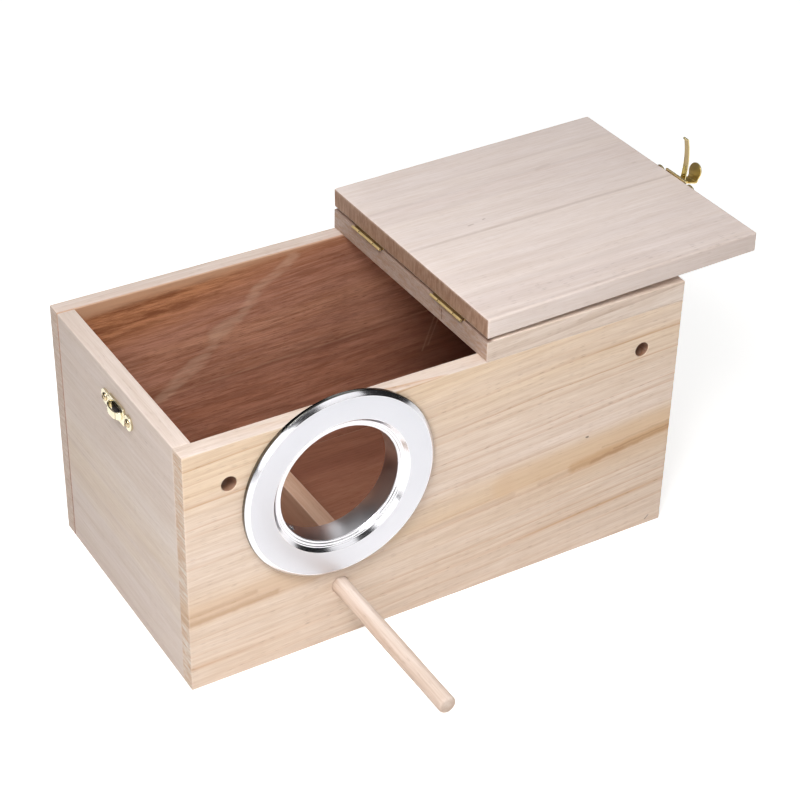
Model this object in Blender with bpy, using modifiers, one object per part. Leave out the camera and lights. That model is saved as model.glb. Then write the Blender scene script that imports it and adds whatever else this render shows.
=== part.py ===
"""A wooden bird breeding box, 300 mm long, with its lid folded open over its fixed roof.

Metres, +Z up. The origin is the centre of the underside, +X runs towards the fixed roof,
-Y is the side with the entrance ring and the perch. The lid and its latch are modelled
closed and locked, and the empties on their joint axes then turn them into the open pose.
"""

import bmesh
import bpy
from math import atan2, cos, pi, radians, sin
from mathutils import Matrix, Vector

mm = 0.001

# Carcass boards
box_length = 300 * mm
box_depth = 160 * mm
rim_height = 148 * mm
wall_thickness = 10 * mm
floor_thickness = 10 * mm
glue_gap = 0.3 * mm
edge_radius = 0.9 * mm
edge_steps = 3

# Fixed roof board and lid board
roof_length = 126.4 * mm
roof_thickness = 11.7 * mm
lid_overhang = 2.8 * mm
lid_thickness = 11.7 * mm
lid_open_degrees = 178.75

# Divider board that keeps the nest litter away from the entrance
divider_height = 25.5 * mm
divider_thickness = 10 * mm
divider_from_left = 107.5 * mm

# Two holes that the box is hung by
hanging_hole_radius = 4.25 * mm
hanging_hole_inset = 25 * mm
hanging_hole_drop = 24 * mm
hanging_hole_sides = 32

# Entrance ring, turned about an axis along Y
entrance_from_left = 86.8 * mm
entrance_drop = 45.4 * mm
ring_rim_radius = 55.4 * mm
ring_outer_land_radius = 53.1 * mm
ring_inner_land_radius = 40.0 * mm
ring_bore_radius = 34.2 * mm
ring_land_height = 4.3 * mm
ring_rim_height = 2.4 * mm
ring_bead_height = 1.3 * mm
ring_sheet = 0.9 * mm
ring_sleeve_reach = 2 * mm
ring_steps = 64
ring_clearance = 0.4 * mm

# Two small screws through the ring's sleeve into the panel
ring_screw_depth = 6.6 * mm
ring_screw_degrees = (225, 45)
ring_screw_head_radius = 1.9 * mm
ring_screw_head_height = 0.8 * mm
ring_screw_shank_radius = 0.9 * mm
ring_screw_length = 6.5 * mm

# Perch dowel, glued into the front panel
perch_from_left = 87.8 * mm
perch_below_ring = 6.7 * mm
perch_radius = 4.9 * mm
perch_reach = 107.5 * mm
perch_tip_rounding = 1.6 * mm
perch_tip_share = 0.3
perch_fit = 0.15 * mm
perch_sides = 28

# Two butt hinges
hinge_inset = 38.5 * mm
hinge_length = 30 * mm
end_knuckle_length = 7.5 * mm
knuckle_gap = 0.2 * mm
barrel_radius = 1.3 * mm
hinge_pin_radius = 0.6 * mm
hinge_pin_clearance = 0.1 * mm
leaf_thickness = 0.5 * mm
leaf_reach = 11.5 * mm
leaf_seat = 0.1 * mm
folded_leaf_gap = 0.4 * mm
barrel_side_gap = 0.2 * mm
barrel_sides = 20
hinge_screw_offset = 7.2 * mm
hinge_screw_spacing = 19 * mm
hinge_screw_head_radius = 1.9 * mm
hinge_screw_head_height = 0.45 * mm
hinge_screw_sink = 0.25 * mm
hinge_screw_shank_radius = 1.0 * mm
hinge_screw_length = 8 * mm

# Brass plates of the latch and the keeper
plate_thickness = 0.9 * mm
plate_seat = 0.1 * mm
plate_height = 10.5 * mm
plate_waist = 18 * mm
ear_radius = 4.4 * mm
ear_spacing = 27.5 * mm
ear_steps = 10
ear_slope_degrees = 70
latch_across = -6 * mm
plate_screw_head_radius = 2.4 * mm
plate_screw_head_height = 1.3 * mm
plate_screw_shank_radius = 1.1 * mm
plate_screw_length = 8 * mm
screw_hole_clearance = 0.3 * mm

# Keeper on the left panel, with its raised bridge
keeper_drop = 15.5 * mm
bridge_rise = 4.9 * mm
bridge_height = 4.6 * mm
bridge_span = 13 * mm
bridge_crown = 7.4 * mm
bridge_sheet = 0.8 * mm
bridge_slope_share = 0.6

# Latch on the lid's free end
latch_rise = 4.2 * mm
lever_pivot_drop = 0.5 * mm
lever_pivot_stand = 2.9 * mm
lug_radius = 1.5 * mm
lug_thickness = 0.8 * mm
lug_inner = 3.8 * mm
rivet_radius = 0.6 * mm
rivet_clearance = 0.1 * mm
rivet_head_radius = 1.1 * mm
rivet_head_height = 0.4 * mm
rivet_seat = 0.1 * mm
rivet_crown_share = 0.6
rivet_edge_share = 0.4
lever_arm_inner = 2.65 * mm
lever_arm_thickness = 0.8 * mm
lever_arm_radius = 1.3 * mm
lever_plate_start = 4.9 * mm
lever_bend = 10.6 * mm
lever_sheet = 0.9 * mm
lever_plate_width = 8.4 * mm
tab_radius = 5.1 * mm
tab_centre = 5.4 * mm
tab_dimple_radius = 1.9 * mm
tab_dimple_depth = 0.4 * mm
tab_steps = 32
tab_arc_degrees = 140
lever_release_degrees = 75

# Hook that hangs on the lever and catches under the keeper's bridge
hook_pin_reach = 3 * mm
hook_pin_over_centre = 0.3 * mm
hook_pin_radius = 0.5 * mm
hook_pin_clearance = 0.1 * mm
hook_knuckle_radius = 1.15 * mm
hook_width = 4.6 * mm
hook_sheet = 0.9 * mm
hook_stand = 0.75 * mm
hook_catch_gap = 0.3 * mm
hook_curl_radius = 1.5 * mm
hook_curl_degrees = 120
hook_bend_steps = 8
hook_root_share = 0.6

# Screws in general: the cone of a tip, and the heads as shares of their radius and height
screw_seat = 0.1 * mm
screw_tip_share = 1.6
domed_head_shares = ((0, 1), (0.45, 0.94), (0.8, 0.55), (1, 0.12), (1, 0))
flat_head_shares = ((0, 1), (0.45, 0.94), (0.8, 0.9), (1, 0.12), (1, 0))

# One length by which every cutter runs past the face that it opens
overrun = 1 * mm
turned_merge = 0.02 * mm
outline_merge = 0.001 * mm
fine_sides = 16
smooth_degrees = 40
ring_smooth_degrees = 30

# Places that follow from the sizes
left_face = -box_length / 2
right_face = box_length / 2
front_face = -box_depth / 2
back_face = box_depth / 2
roof_underside = rim_height + glue_gap
roof_top = roof_underside + roof_thickness
lid_underside = rim_height + glue_gap
lid_top = lid_underside + lid_thickness
roof_edge = right_face - roof_length
hinge_side_gap = barrel_radius + barrel_side_gap
hinge_axis_height = roof_top + leaf_seat + leaf_thickness + folded_leaf_gap / 2
hinge_axis = Vector((roof_edge - hinge_side_gap, 0, hinge_axis_height))
leaf_top = hinge_axis_height - folded_leaf_gap / 2
lid_edge = hinge_axis.x - hinge_side_gap
lid_end = left_face - lid_overhang
entrance = Vector((left_face + entrance_from_left, front_face, rim_height - entrance_drop))
perch_x = left_face + perch_from_left
perch_height = entrance.z - ring_rim_radius - perch_below_ring - perch_radius
keeper_height = rim_height - keeper_drop
plate_front = plate_seat + plate_thickness
latch_plate_z = lid_underside + latch_rise
lever_pivot = Vector((lid_end - lever_pivot_stand, latch_across, latch_plate_z - lever_pivot_drop))
hook_pivot = lever_pivot + Vector((hook_pin_over_centre, 0, hook_pin_reach))


def clear_scene():
    for obj in list(bpy.data.objects):
        bpy.data.objects.remove(obj, do_unlink=True)


def collection(name):
    made = bpy.data.collections.new(name)
    bpy.context.scene.collection.children.link(made)
    return made


def material(name, colour, roughness, metallic=0.0):
    made = bpy.data.materials.new(name)
    made.use_nodes = True
    shader = made.node_tree.nodes["Principled BSDF"]
    shader.inputs["Base Color"].default_value = (*colour, 1.0)
    shader.inputs["Roughness"].default_value = roughness
    shader.inputs["Metallic"].default_value = metallic
    return made


def object_from(name, bm, home):
    mesh = bpy.data.meshes.new(name)
    bm.to_mesh(mesh)
    bm.free()
    made = bpy.data.objects.new(name, mesh)
    home.objects.link(made)
    return made


def hide_as_helper(obj):
    obj.hide_render = True
    obj.display_type = "WIRE"
    return obj


def finish(obj, surface, smooth=None):
    """Gives a piece its own material, and shades it smooth up to an angle if one is given."""
    own = surface.copy()
    own.name = obj.name
    obj.data.materials.clear()
    obj.data.materials.append(own)
    if smooth:
        obj.data.shade_smooth()
        obj.data.set_sharp_from_angle(angle=radians(smooth))
    return obj


def block(name, low, high, home):
    """A box between two corners."""
    bm = bmesh.new()
    bmesh.ops.create_cube(bm, size=1)
    low, high = Vector(low), Vector(high)
    size = high - low
    scale = Matrix.Diagonal((size.x, size.y, size.z, 1))
    bmesh.ops.transform(bm, matrix=Matrix.Translation((low + high) / 2) @ scale, verts=bm.verts)
    return object_from(name, bm, home)


def rounded_board(name, low, high, outer_sides, home):
    """A board whose edges between two of its outer sides, such as "-x" and "+z", are rounded."""
    made = block(name, low, high, home)
    bm = bmesh.new()
    bm.from_mesh(made.data)
    directions = {"-x": (0, -1), "+x": (0, 1), "-y": (1, -1), "+y": (1, 1), "-z": (2, -1), "+z": (2, 1)}

    def is_outer(face):
        return any(round(face.normal[directions[side][0]]) == directions[side][1] for side in outer_sides)

    edges = [edge for edge in bm.edges if all(is_outer(face) for face in edge.link_faces)]
    bmesh.ops.bevel(
        bm, geom=edges, offset=edge_radius, segments=edge_steps, profile=0.5, affect="EDGES"
    )
    bm.to_mesh(made.data)
    bm.free()
    return made


def cylinder(name, radius, start, end, sides, home):
    start, end = Vector(start), Vector(end)
    along = end - start
    bm = bmesh.new()
    bmesh.ops.create_cone(
        bm, cap_ends=True, segments=sides, radius1=radius, radius2=radius, depth=along.length
    )
    turn = along.to_track_quat("Z", "Y").to_matrix().to_4x4()
    bmesh.ops.transform(bm, matrix=Matrix.Translation((start + end) / 2) @ turn, verts=bm.verts)
    return object_from(name, bm, home)


def turned(name, profile, steps, place, home):
    """Turns (radius, height) points about Z, top to bottom down the outer side, and moves the result."""
    bm = bmesh.new()
    verts = [bm.verts.new((radius, 0, height)) for radius, height in profile]
    for first, second in zip(verts, verts[1:] + verts[:1]):
        if first.co.x > 0 or second.co.x > 0:
            bm.edges.new((first, second))
    made = object_from(name, bm, home)
    screw = made.modifiers.new("turn", "SCREW")
    screw.steps = steps
    screw.render_steps = steps
    screw.use_merge_vertices = True
    screw.merge_threshold = turned_merge
    made.matrix_world = place
    return made


def sheet_outline(name, points, thickness, home):
    """A flat piece in the XY plane, from the points of its outline, as a mesh."""
    outline = bpy.data.curves.new(name, "CURVE")
    outline.dimensions = "2D"
    outline.fill_mode = "BOTH"
    outline.extrude = thickness / 2
    spline = outline.splines.new("POLY")
    spline.points.add(len(points) - 1)
    for place, (x, y) in zip(spline.points, points):
        place.co = (x, y, 0, 1)
    spline.use_cyclic_u = True
    drawn = bpy.data.objects.new(name + "_outline", outline)
    home.objects.link(drawn)
    graph = bpy.context.evaluated_depsgraph_get()
    mesh = bpy.data.meshes.new_from_object(drawn.evaluated_get(graph))
    bpy.data.objects.remove(drawn)
    bpy.data.curves.remove(outline)
    bm = bmesh.new()
    bm.from_mesh(mesh)
    bpy.data.meshes.remove(mesh)
    bmesh.ops.remove_doubles(bm, verts=bm.verts, dist=outline_merge)
    bmesh.ops.recalc_face_normals(bm, faces=bm.faces)
    return object_from(name, bm, home)


def move_mesh(obj, matrix):
    obj.data.transform(matrix)
    return obj


def cut(obj, cutter, operation="DIFFERENCE"):
    modifier = obj.modifiers.new(cutter.name, "BOOLEAN")
    modifier.operation = operation
    modifier.solver = "EXACT"
    modifier.object = hide_as_helper(cutter)
    return obj


def add(obj, shape):
    return cut(obj, shape, "UNION")


def attach(obj, pivot, pivot_place):
    """Hangs a piece, modelled in place, on the empty of its joint. Its helpers hang there with it."""
    for each in [obj] + [modifier.object for modifier in obj.modifiers if modifier.type == "BOOLEAN"]:
        each.parent = pivot
        each.location = each.location - pivot_place
    return obj


def pivot_empty(name, place, home, parent=None, parent_place=None):
    made = bpy.data.objects.new(name, None)
    made.empty_display_size = leaf_reach
    home.objects.link(made)
    made.location = place
    if parent:
        made.parent = parent
        made.location = place - parent_place
    return made


def arc_points(centre, radius, first_degrees, last_degrees, steps):
    made = []
    for step in range(steps + 1):
        angle = radians(first_degrees + (last_degrees - first_degrees) * step / steps)
        made.append((centre[0] + radius * cos(angle), centre[1] + radius * sin(angle)))
    return made


def along_y(start_y, end_y, x, z):
    """The two ends of a line along Y at one x and z."""
    return (x, start_y, z), (x, end_y, z)


def screw_with_head(name, head_radius, head_height, shank_radius, length, place, home, domed=True):
    """A wood screw along -Z from the underside of its head at the origin of place."""
    tip = screw_tip_share * shank_radius
    head_shares = domed_head_shares if domed else flat_head_shares
    profile = [(head_radius * out, head_height * up) for out, up in head_shares]
    profile += [(shank_radius, 0), (shank_radius, tip - length), (0, -length)]
    return turned(name, profile, fine_sides, place, home)


def make_panels(pieces, helpers, wood):
    inner_front = front_face + wall_thickness
    inner_back = back_face - wall_thickness
    inner_left = left_face + wall_thickness
    inner_right = right_face - wall_thickness

    front = rounded_board(
        "front_panel",
        (left_face, front_face, 0),
        (right_face, inner_front, rim_height),
        ("-y", "-x", "+x", "+z", "-z"),
        pieces,
    )
    for side, x in (("left", left_face + hanging_hole_inset), ("right", right_face - hanging_hole_inset)):
        ends = along_y(front_face - overrun, inner_front + overrun, x, rim_height - hanging_hole_drop)
        bore = cylinder(
            "hanging_hole_" + side, hanging_hole_radius, *ends, hanging_hole_sides, helpers
        )
        cut(front, bore)
    entrance_hole_radius = ring_bore_radius + ring_sheet + ring_clearance
    ends = along_y(front_face - overrun, inner_front + overrun, entrance.x, entrance.z)
    cut(front, cylinder("entrance_hole", entrance_hole_radius, *ends, ring_steps, helpers))
    ends = along_y(front_face - overrun, inner_front + overrun, perch_x, perch_height)
    cut(front, cylinder("perch_hole", perch_radius + perch_fit, *ends, perch_sides, helpers))
    finish(front, wood)

    back = rounded_board(
        "back_panel",
        (left_face, inner_back, 0),
        (right_face, back_face, rim_height),
        ("+y", "-x", "+x", "+z", "-z"),
        pieces,
    )
    finish(back, wood)

    left = rounded_board(
        "left_panel",
        (left_face, inner_front + glue_gap, 0),
        (inner_left, inner_back - glue_gap, rim_height),
        ("-x", "+z", "-z"),
        pieces,
    )
    right = rounded_board(
        "right_panel",
        (inner_right, inner_front + glue_gap, 0),
        (right_face, inner_back - glue_gap, rim_height),
        ("+x", "+z", "-z"),
        pieces,
    )
    finish(right, wood)

    floor = block(
        "floor_panel",
        (inner_left + glue_gap, inner_front + glue_gap, 0),
        (inner_right - glue_gap, inner_back - glue_gap, floor_thickness),
        pieces,
    )
    finish(floor, wood)

    divider_x = left_face + divider_from_left
    divider_bottom = floor_thickness + glue_gap
    divider = rounded_board(
        "nest_divider",
        (divider_x - divider_thickness / 2, inner_front + glue_gap, divider_bottom),
        (divider_x + divider_thickness / 2, inner_back - glue_gap, divider_bottom + divider_height),
        ("-x", "+x", "+z"),
        pieces,
    )
    finish(divider, wood)
    return front, left


def make_roof(pieces, wood):
    return rounded_board(
        "fixed_roof",
        (roof_edge, front_face, roof_underside),
        (right_face, back_face, roof_top),
        ("-x", "+x", "-y", "+y", "-z", "+z"),
        pieces,
    )


def make_lid(pieces, wood):
    return rounded_board(
        "lid",
        (lid_end, front_face, lid_underside),
        (lid_edge, back_face, lid_top),
        ("-x", "+x", "-y", "+y", "-z", "+z"),
        pieces,
    )


def make_ring(front, pieces, helpers, metal, steel):
    """The turned ring and the two screws that hold it in the front panel."""
    sleeve_outer = ring_bore_radius + ring_sheet
    sleeve_end = -(wall_thickness + ring_sleeve_reach)
    land = ring_land_height
    under = land - ring_sheet
    seat = glue_gap
    profile = (
        (ring_bore_radius, sleeve_end),
        (ring_bore_radius, seat),
        (ring_bore_radius + ring_sheet / 2, ring_bead_height),
        (ring_inner_land_radius, land),
        (ring_outer_land_radius, land),
        (ring_rim_radius, ring_rim_height),
        (ring_rim_radius, seat),
        (ring_rim_radius - ring_sheet, seat),
        (ring_rim_radius - ring_sheet, ring_rim_height - ring_sheet),
        (ring_outer_land_radius, under),
        (ring_inner_land_radius, under),
        (sleeve_outer + ring_sheet / 2, seat),
        (sleeve_outer, seat),
        (sleeve_outer, sleeve_end),
    )
    outward = Matrix.Translation(entrance) @ Matrix.Rotation(radians(90), 4, "X")
    ring = turned("entrance_ring", profile, ring_steps, outward, pieces)

    screw_y = front_face + ring_screw_depth
    for side, degrees in zip(("lower", "upper"), ring_screw_degrees):
        outward = Vector((cos(radians(degrees)), 0, sin(radians(degrees))))
        centre = Vector((entrance.x, screw_y, entrance.z))
        seat_radius = ring_bore_radius * cos(pi / ring_steps) - screw_seat
        under_head = centre + outward * seat_radius
        turn = (-outward).to_track_quat("Z", "Y").to_matrix().to_4x4()
        screw = screw_with_head(
            "ring_screw_" + side,
            ring_screw_head_radius,
            ring_screw_head_height,
            ring_screw_shank_radius,
            ring_screw_length,
            Matrix.Translation(under_head) @ turn,
            pieces,
        )
        finish(screw, steel, smooth_degrees)
        hole_radius = ring_screw_shank_radius + screw_hole_clearance
        hole_start = centre + outward * (seat_radius - overrun)
        hole_end = under_head + outward * (ring_screw_length + screw_hole_clearance)
        for owner in (ring, front):
            name = "ring_screw_hole_" + side + "_" + owner.name
            cut(owner, cylinder(name, hole_radius, hole_start, hole_end, fine_sides, helpers))
    finish(ring, metal, ring_smooth_degrees)


def make_perch(pieces, wood):
    inner_end = wall_thickness
    shoulder = perch_reach - perch_tip_rounding
    perch_tip_bevel = perch_tip_rounding * perch_tip_share
    profile = [
        (0, perch_reach),
        (perch_radius - perch_tip_rounding, perch_reach),
        (perch_radius - perch_tip_bevel, perch_reach - perch_tip_bevel),
        (perch_radius, shoulder),
        (perch_radius, -inner_end),
        (0, -inner_end),
    ]
    place = Matrix.Translation((perch_x, front_face, perch_height)) @ Matrix.Rotation(radians(90), 4, "X")
    finish(turned("perch", profile, perch_sides, place, pieces), wood, smooth_degrees)


def leaf_outline(far, stretches):
    """A hinge leaf whose near edge is stepped: each stretch of that edge is (x, start y, end y)."""
    points = [(far, stretches[0][1])]
    for x, start, end in stretches:
        points += [(x, start), (x, end)]
    points.append((far, stretches[-1][2]))
    return points


def make_leaf(name, owner, direction, centre_y, pieces, helpers):
    """A leaf with its knuckles: two at the ends on the roof, one in the middle on the lid."""
    half = hinge_length / 2
    middle = half - end_knuckle_length
    axis = hinge_axis.x
    near = axis + direction * (hinge_side_gap + barrel_side_gap)
    far = axis + direction * leaf_reach
    if owner == "roof":
        inner = middle + knuckle_gap / 2
        stretches = ((axis, -half, -inner), (near, -inner, inner), (axis, inner, half))
    else:
        inner = middle - knuckle_gap / 2
        stretches = ((near, -half, -inner), (axis, -inner, inner), (near, inner, half))
    leaf = sheet_outline(name, leaf_outline(far, stretches), leaf_thickness, pieces)
    move_mesh(leaf, Matrix.Translation((0, centre_y, leaf_top - leaf_thickness / 2)))
    for number, (x, start, end) in enumerate(stretches):
        if x == axis:
            ends = along_y(centre_y + start, centre_y + end, axis, hinge_axis.z)
            knuckle_name = name + "_knuckle_" + str(number)
            add(leaf, cylinder(knuckle_name, barrel_radius, *ends, barrel_sides, helpers))
    ends = along_y(centre_y - half - overrun, centre_y + half + overrun, axis, hinge_axis.z)
    bore_radius = hinge_pin_radius + hinge_pin_clearance
    return cut(leaf, cylinder(name + "_bore", bore_radius, *ends, fine_sides, helpers))


def make_leaf_screw(name, x, y, leaf, board, pieces, helpers, brass):
    """A countersunk screw through a leaf into its board, with the holes that it sits in."""
    under_head = leaf_top - hinge_screw_sink
    screw = screw_with_head(
        name,
        hinge_screw_head_radius,
        hinge_screw_head_height,
        hinge_screw_shank_radius,
        hinge_screw_length,
        Matrix.Translation((x, y, under_head)),
        pieces,
        domed=False,
    )
    shank_hole = hinge_screw_shank_radius + screw_hole_clearance
    head_hole = hinge_screw_head_radius + screw_seat
    bottom = (x, y, under_head - hinge_screw_length - screw_hole_clearance)
    recess_floor = (x, y, under_head - screw_seat)
    top = (x, y, leaf_top + overrun)
    cut(leaf, cylinder(name + "_leaf_hole", shank_hole, bottom, top, fine_sides, helpers))
    cut(leaf, cylinder(name + "_recess", head_hole, recess_floor, top, fine_sides, helpers))
    cut(board, cylinder(name + "_pilot_hole", shank_hole, bottom, top, fine_sides, helpers))
    return finish(screw, brass, smooth_degrees)


def make_hinge(label, centre_y, roof, lid, pieces, helpers, brass):
    """One butt hinge with its pin and four screws. It returns the pieces that turn with the lid."""
    with_lid = []
    for owner, board, direction in (("roof", roof, 1), ("lid", lid, -1)):
        base = "hinge_" + label + "_" + owner
        leaf = make_leaf(base + "_leaf", owner, direction, centre_y, pieces, helpers)
        made = [leaf]
        for side, way in (("front", -1), ("rear", 1)):
            x = hinge_axis.x + direction * hinge_screw_offset
            y = centre_y + way * hinge_screw_spacing / 2
            name = base + "_screw_" + side
            made.append(make_leaf_screw(name, x, y, leaf, board, pieces, helpers, brass))
        finish(leaf, brass, smooth_degrees)
        if owner == "lid":
            with_lid = made
    half = hinge_length / 2
    ends = along_y(centre_y - half, centre_y + half, hinge_axis.x, hinge_axis.z)
    pin = cylinder("hinge_" + label + "_pin", hinge_pin_radius, *ends, fine_sides, pieces)
    finish(pin, brass, smooth_degrees)
    return with_lid


def plate_outline():
    """The outline of a latch plate: a straight middle and a round ear at each end, across and up."""
    reach = ear_spacing / 2
    half_height = plate_height / 2
    half_waist = plate_waist / 2
    # The ear's arc ends where the slope from the waist meets it.
    right = [(half_waist, -half_height)]
    right += arc_points((reach, 0), ear_radius, -ear_slope_degrees, ear_slope_degrees, ear_steps)
    right += [(half_waist, half_height)]
    return right + [(-x, y) for x, y in reversed(right)]


def wall_plate(name, outer_x, centre_z, pieces):
    """A latch plate that lies on a face looking along -X, at outer_x."""
    plate = sheet_outline(name, plate_outline(), plate_thickness, pieces)
    # The outline's x runs along -Y and its y up, so that its own z points out along -X.
    turn = Matrix(((0, 0, -1, 0), (-1, 0, 0, 0), (0, 1, 0, 0), (0, 0, 0, 1)))
    centre = Vector((outer_x - plate_seat - plate_thickness / 2, latch_across, centre_z))
    return move_mesh(plate, Matrix.Translation(centre) @ turn)


def fasten_plate(plate, board, outer_x, centre_z, pieces, helpers, brass):
    """Two round-head screws through a plate's ears into the board behind it."""
    screws = []
    outward = Matrix.Rotation(radians(-90), 4, "Y")
    for side, way in (("front", -1), ("rear", 1)):
        y = latch_across + way * ear_spacing / 2
        under_head = outer_x - plate_front - screw_seat
        name = plate.name + "_screw_" + side
        screw = screw_with_head(
            name,
            plate_screw_head_radius,
            plate_screw_head_height,
            plate_screw_shank_radius,
            plate_screw_length,
            Matrix.Translation((under_head, y, centre_z)) @ outward,
            pieces,
        )
        finish(screw, brass, smooth_degrees)
        hole_radius = plate_screw_shank_radius + screw_hole_clearance
        start = (under_head - overrun, y, centre_z)
        end = (under_head + plate_screw_length + screw_hole_clearance, y, centre_z)
        for owner in (plate, board):
            hole_name = name + "_hole_" + owner.name
            cut(owner, cylinder(hole_name, hole_radius, start, end, fine_sides, helpers))
        screws.append(screw)
    return screws


def make_keeper(left, pieces, helpers, brass):
    """The keeper plate and its raised bridge, which is open above and below."""
    keeper = wall_plate("keeper", left_face, keeper_height, pieces)
    rise = bridge_rise - plate_seat
    outer_crown = bridge_crown / 2
    outer_span = bridge_span / 2
    outer = [(-outer_span, 0), (-outer_crown, rise), (outer_crown, rise), (outer_span, 0)]
    inner_rise = rise - bridge_sheet
    inner_crown = outer_crown - bridge_sheet * bridge_slope_share
    inner_span = outer_span - bridge_sheet
    inner = [(inner_span, 0), (inner_crown, inner_rise), (-inner_crown, inner_rise), (-inner_span, 0)]
    bridge = sheet_outline("keeper_bridge", outer + inner, bridge_height, helpers)
    # The outline's x runs along Y, its y out along -X, and its own z up.
    turn = Matrix(((0, -1, 0, 0), (1, 0, 0, 0), (0, 0, 1, 0), (0, 0, 0, 1)))
    place = Matrix.Translation((left_face - plate_seat, latch_across, keeper_height))
    add(keeper, move_mesh(bridge, place @ turn))
    fasten_plate(keeper, left, left_face, keeper_height, pieces, helpers, brass)
    finish(keeper, brass, smooth_degrees)


def make_latch_base(lid, pieces, helpers, brass):
    """The latch plate on the lid's end, with two lugs that carry the lever."""
    base = wall_plate("latch_base", lid_end, latch_plate_z, pieces)
    for side, way in (("front", -1), ("rear", 1)):
        ys = sorted((latch_across + way * lug_inner, latch_across + way * (lug_inner + lug_thickness)))
        ends = along_y(ys[0], ys[1], lever_pivot.x, lever_pivot.z)
        eye = cylinder("latch_lug_eye_" + side, lug_radius, *ends, barrel_sides, helpers)
        plate_x = lid_end - plate_seat - plate_thickness / 2
        web = block(
            "latch_lug_web_" + side,
            (lever_pivot.x, ys[0], lever_pivot.z - lug_radius),
            (plate_x, ys[1], lever_pivot.z + lug_radius),
            helpers,
        )
        add(base, web)
        add(base, eye)
        bore_ends = along_y(ys[0] - overrun, ys[1] + overrun, lever_pivot.x, lever_pivot.z)
        bore_radius = rivet_radius + rivet_clearance
        cut(base, cylinder("latch_lug_bore_" + side, bore_radius, *bore_ends, fine_sides, helpers))
    screws = fasten_plate(base, lid, lid_end, latch_plate_z, pieces, helpers, brass)
    finish(base, brass, smooth_degrees)
    return [base] + screws


def make_rivets(pieces, brass):
    """The two stub rivets that the lever turns on, one through each lug."""
    made = []
    for side, way in (("front", -1), ("rear", 1)):
        inner_y = lever_arm_inner
        outer_y = lug_inner + lug_thickness + rivet_seat
        profile = [
            (0, outer_y + rivet_head_height),
            (rivet_head_radius * rivet_crown_share, outer_y + rivet_head_height),
            (rivet_head_radius, outer_y + rivet_head_height * rivet_edge_share),
            (rivet_head_radius, outer_y),
            (rivet_radius, outer_y),
            (rivet_radius, inner_y),
            (0, inner_y),
        ]
        turn = Matrix.Rotation(radians(-90 * way), 4, "X")
        place = Matrix.Translation(lever_pivot) @ turn
        rivet = turned("lever_rivet_" + side, profile, fine_sides, place, pieces)
        made.append(finish(rivet, brass, smooth_degrees))
    return made


def lever_place():
    """Places a shape drawn with x up the lever, y out of the lid's end and z towards the front."""
    turn = Matrix(((0, -1, 0, 0), (0, 0, -1, 0), (1, 0, 0, 0), (0, 0, 0, 1)))
    return Matrix.Translation(lever_pivot) @ turn


def make_lever(pieces, helpers, brass):
    """The locked lever: two arms up from the rivets, a plate, and a round finger tab bent outwards."""
    half_sheet = lever_sheet / 2
    plate = block(
        "latch_lever",
        (lever_plate_start, -half_sheet, -lever_plate_width / 2),
        (lever_bend + half_sheet, half_sheet, lever_plate_width / 2),
        pieces,
    )
    move_mesh(plate, lever_place())
    for side, way in (("front", 1), ("rear", -1)):
        root = arc_points((0, 0), lever_arm_radius, 90, 270, ear_steps)
        outline = root + [(lever_bend - lever_sheet, -half_sheet), (lever_bend - lever_sheet, half_sheet)]
        arm = sheet_outline("lever_arm_" + side, outline, lever_arm_thickness, helpers)
        across = way * (lever_arm_inner + lever_arm_thickness / 2)
        move_mesh(arm, lever_place() @ Matrix.Translation((0, 0, across)))
        add(plate, arm)
    tab_low = lever_bend - half_sheet
    tab = sheet_outline(
        "lever_tab",
        [(0, -lever_plate_width / 2)]
        + arc_points((tab_centre, 0), tab_radius, -tab_arc_degrees, tab_arc_degrees, tab_steps)
        + [(0, lever_plate_width / 2)],
        lever_sheet,
        helpers,
    )
    # The tab's x runs out of the lid's end, its y across, its own z up the lever.
    turn = Matrix(((0, 0, 1, 0), (1, 0, 0, 0), (0, 1, 0, 0), (0, 0, 0, 1)))
    move_mesh(tab, lever_place() @ Matrix.Translation((tab_low + half_sheet, 0, 0)) @ turn)
    add(plate, tab)
    bores = (
        ("lever_rivet_bore", lever_pivot, rivet_radius + rivet_clearance),
        ("lever_hook_pin_bore", hook_pivot, hook_pin_radius + hook_pin_clearance),
    )
    reach = lever_arm_inner + lever_arm_thickness + overrun
    for name, centre, radius in bores:
        ends = along_y(latch_across - reach, latch_across + reach, centre.x, centre.z)
        cut(plate, cylinder(name, radius, *ends, fine_sides, helpers))
    dimple_top = lever_bend + half_sheet
    dimple_centre = lever_place() @ Vector((dimple_top + overrun, tab_centre, 0))
    dimple_floor = lever_place() @ Vector((dimple_top - tab_dimple_depth, tab_centre, 0))
    dimple = cylinder("tab_dimple", tab_dimple_radius, dimple_floor, dimple_centre, barrel_sides, helpers)
    cut(plate, dimple)
    return finish(plate, brass, smooth_degrees)


def ribbon(centre_line, thickness):
    """The outline of a strip of one thickness along a line of points."""
    left, right = [], []
    for index, (x, y) in enumerate(centre_line):
        before = centre_line[max(index - 1, 0)]
        after = centre_line[min(index + 1, len(centre_line) - 1)]
        angle = atan2(after[1] - before[1], after[0] - before[0])
        offset = (-sin(angle) * thickness / 2, cos(angle) * thickness / 2)
        left.append((x + offset[0], y + offset[1]))
        right.append((x - offset[0], y - offset[1]))
    return left + right[::-1]


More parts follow.
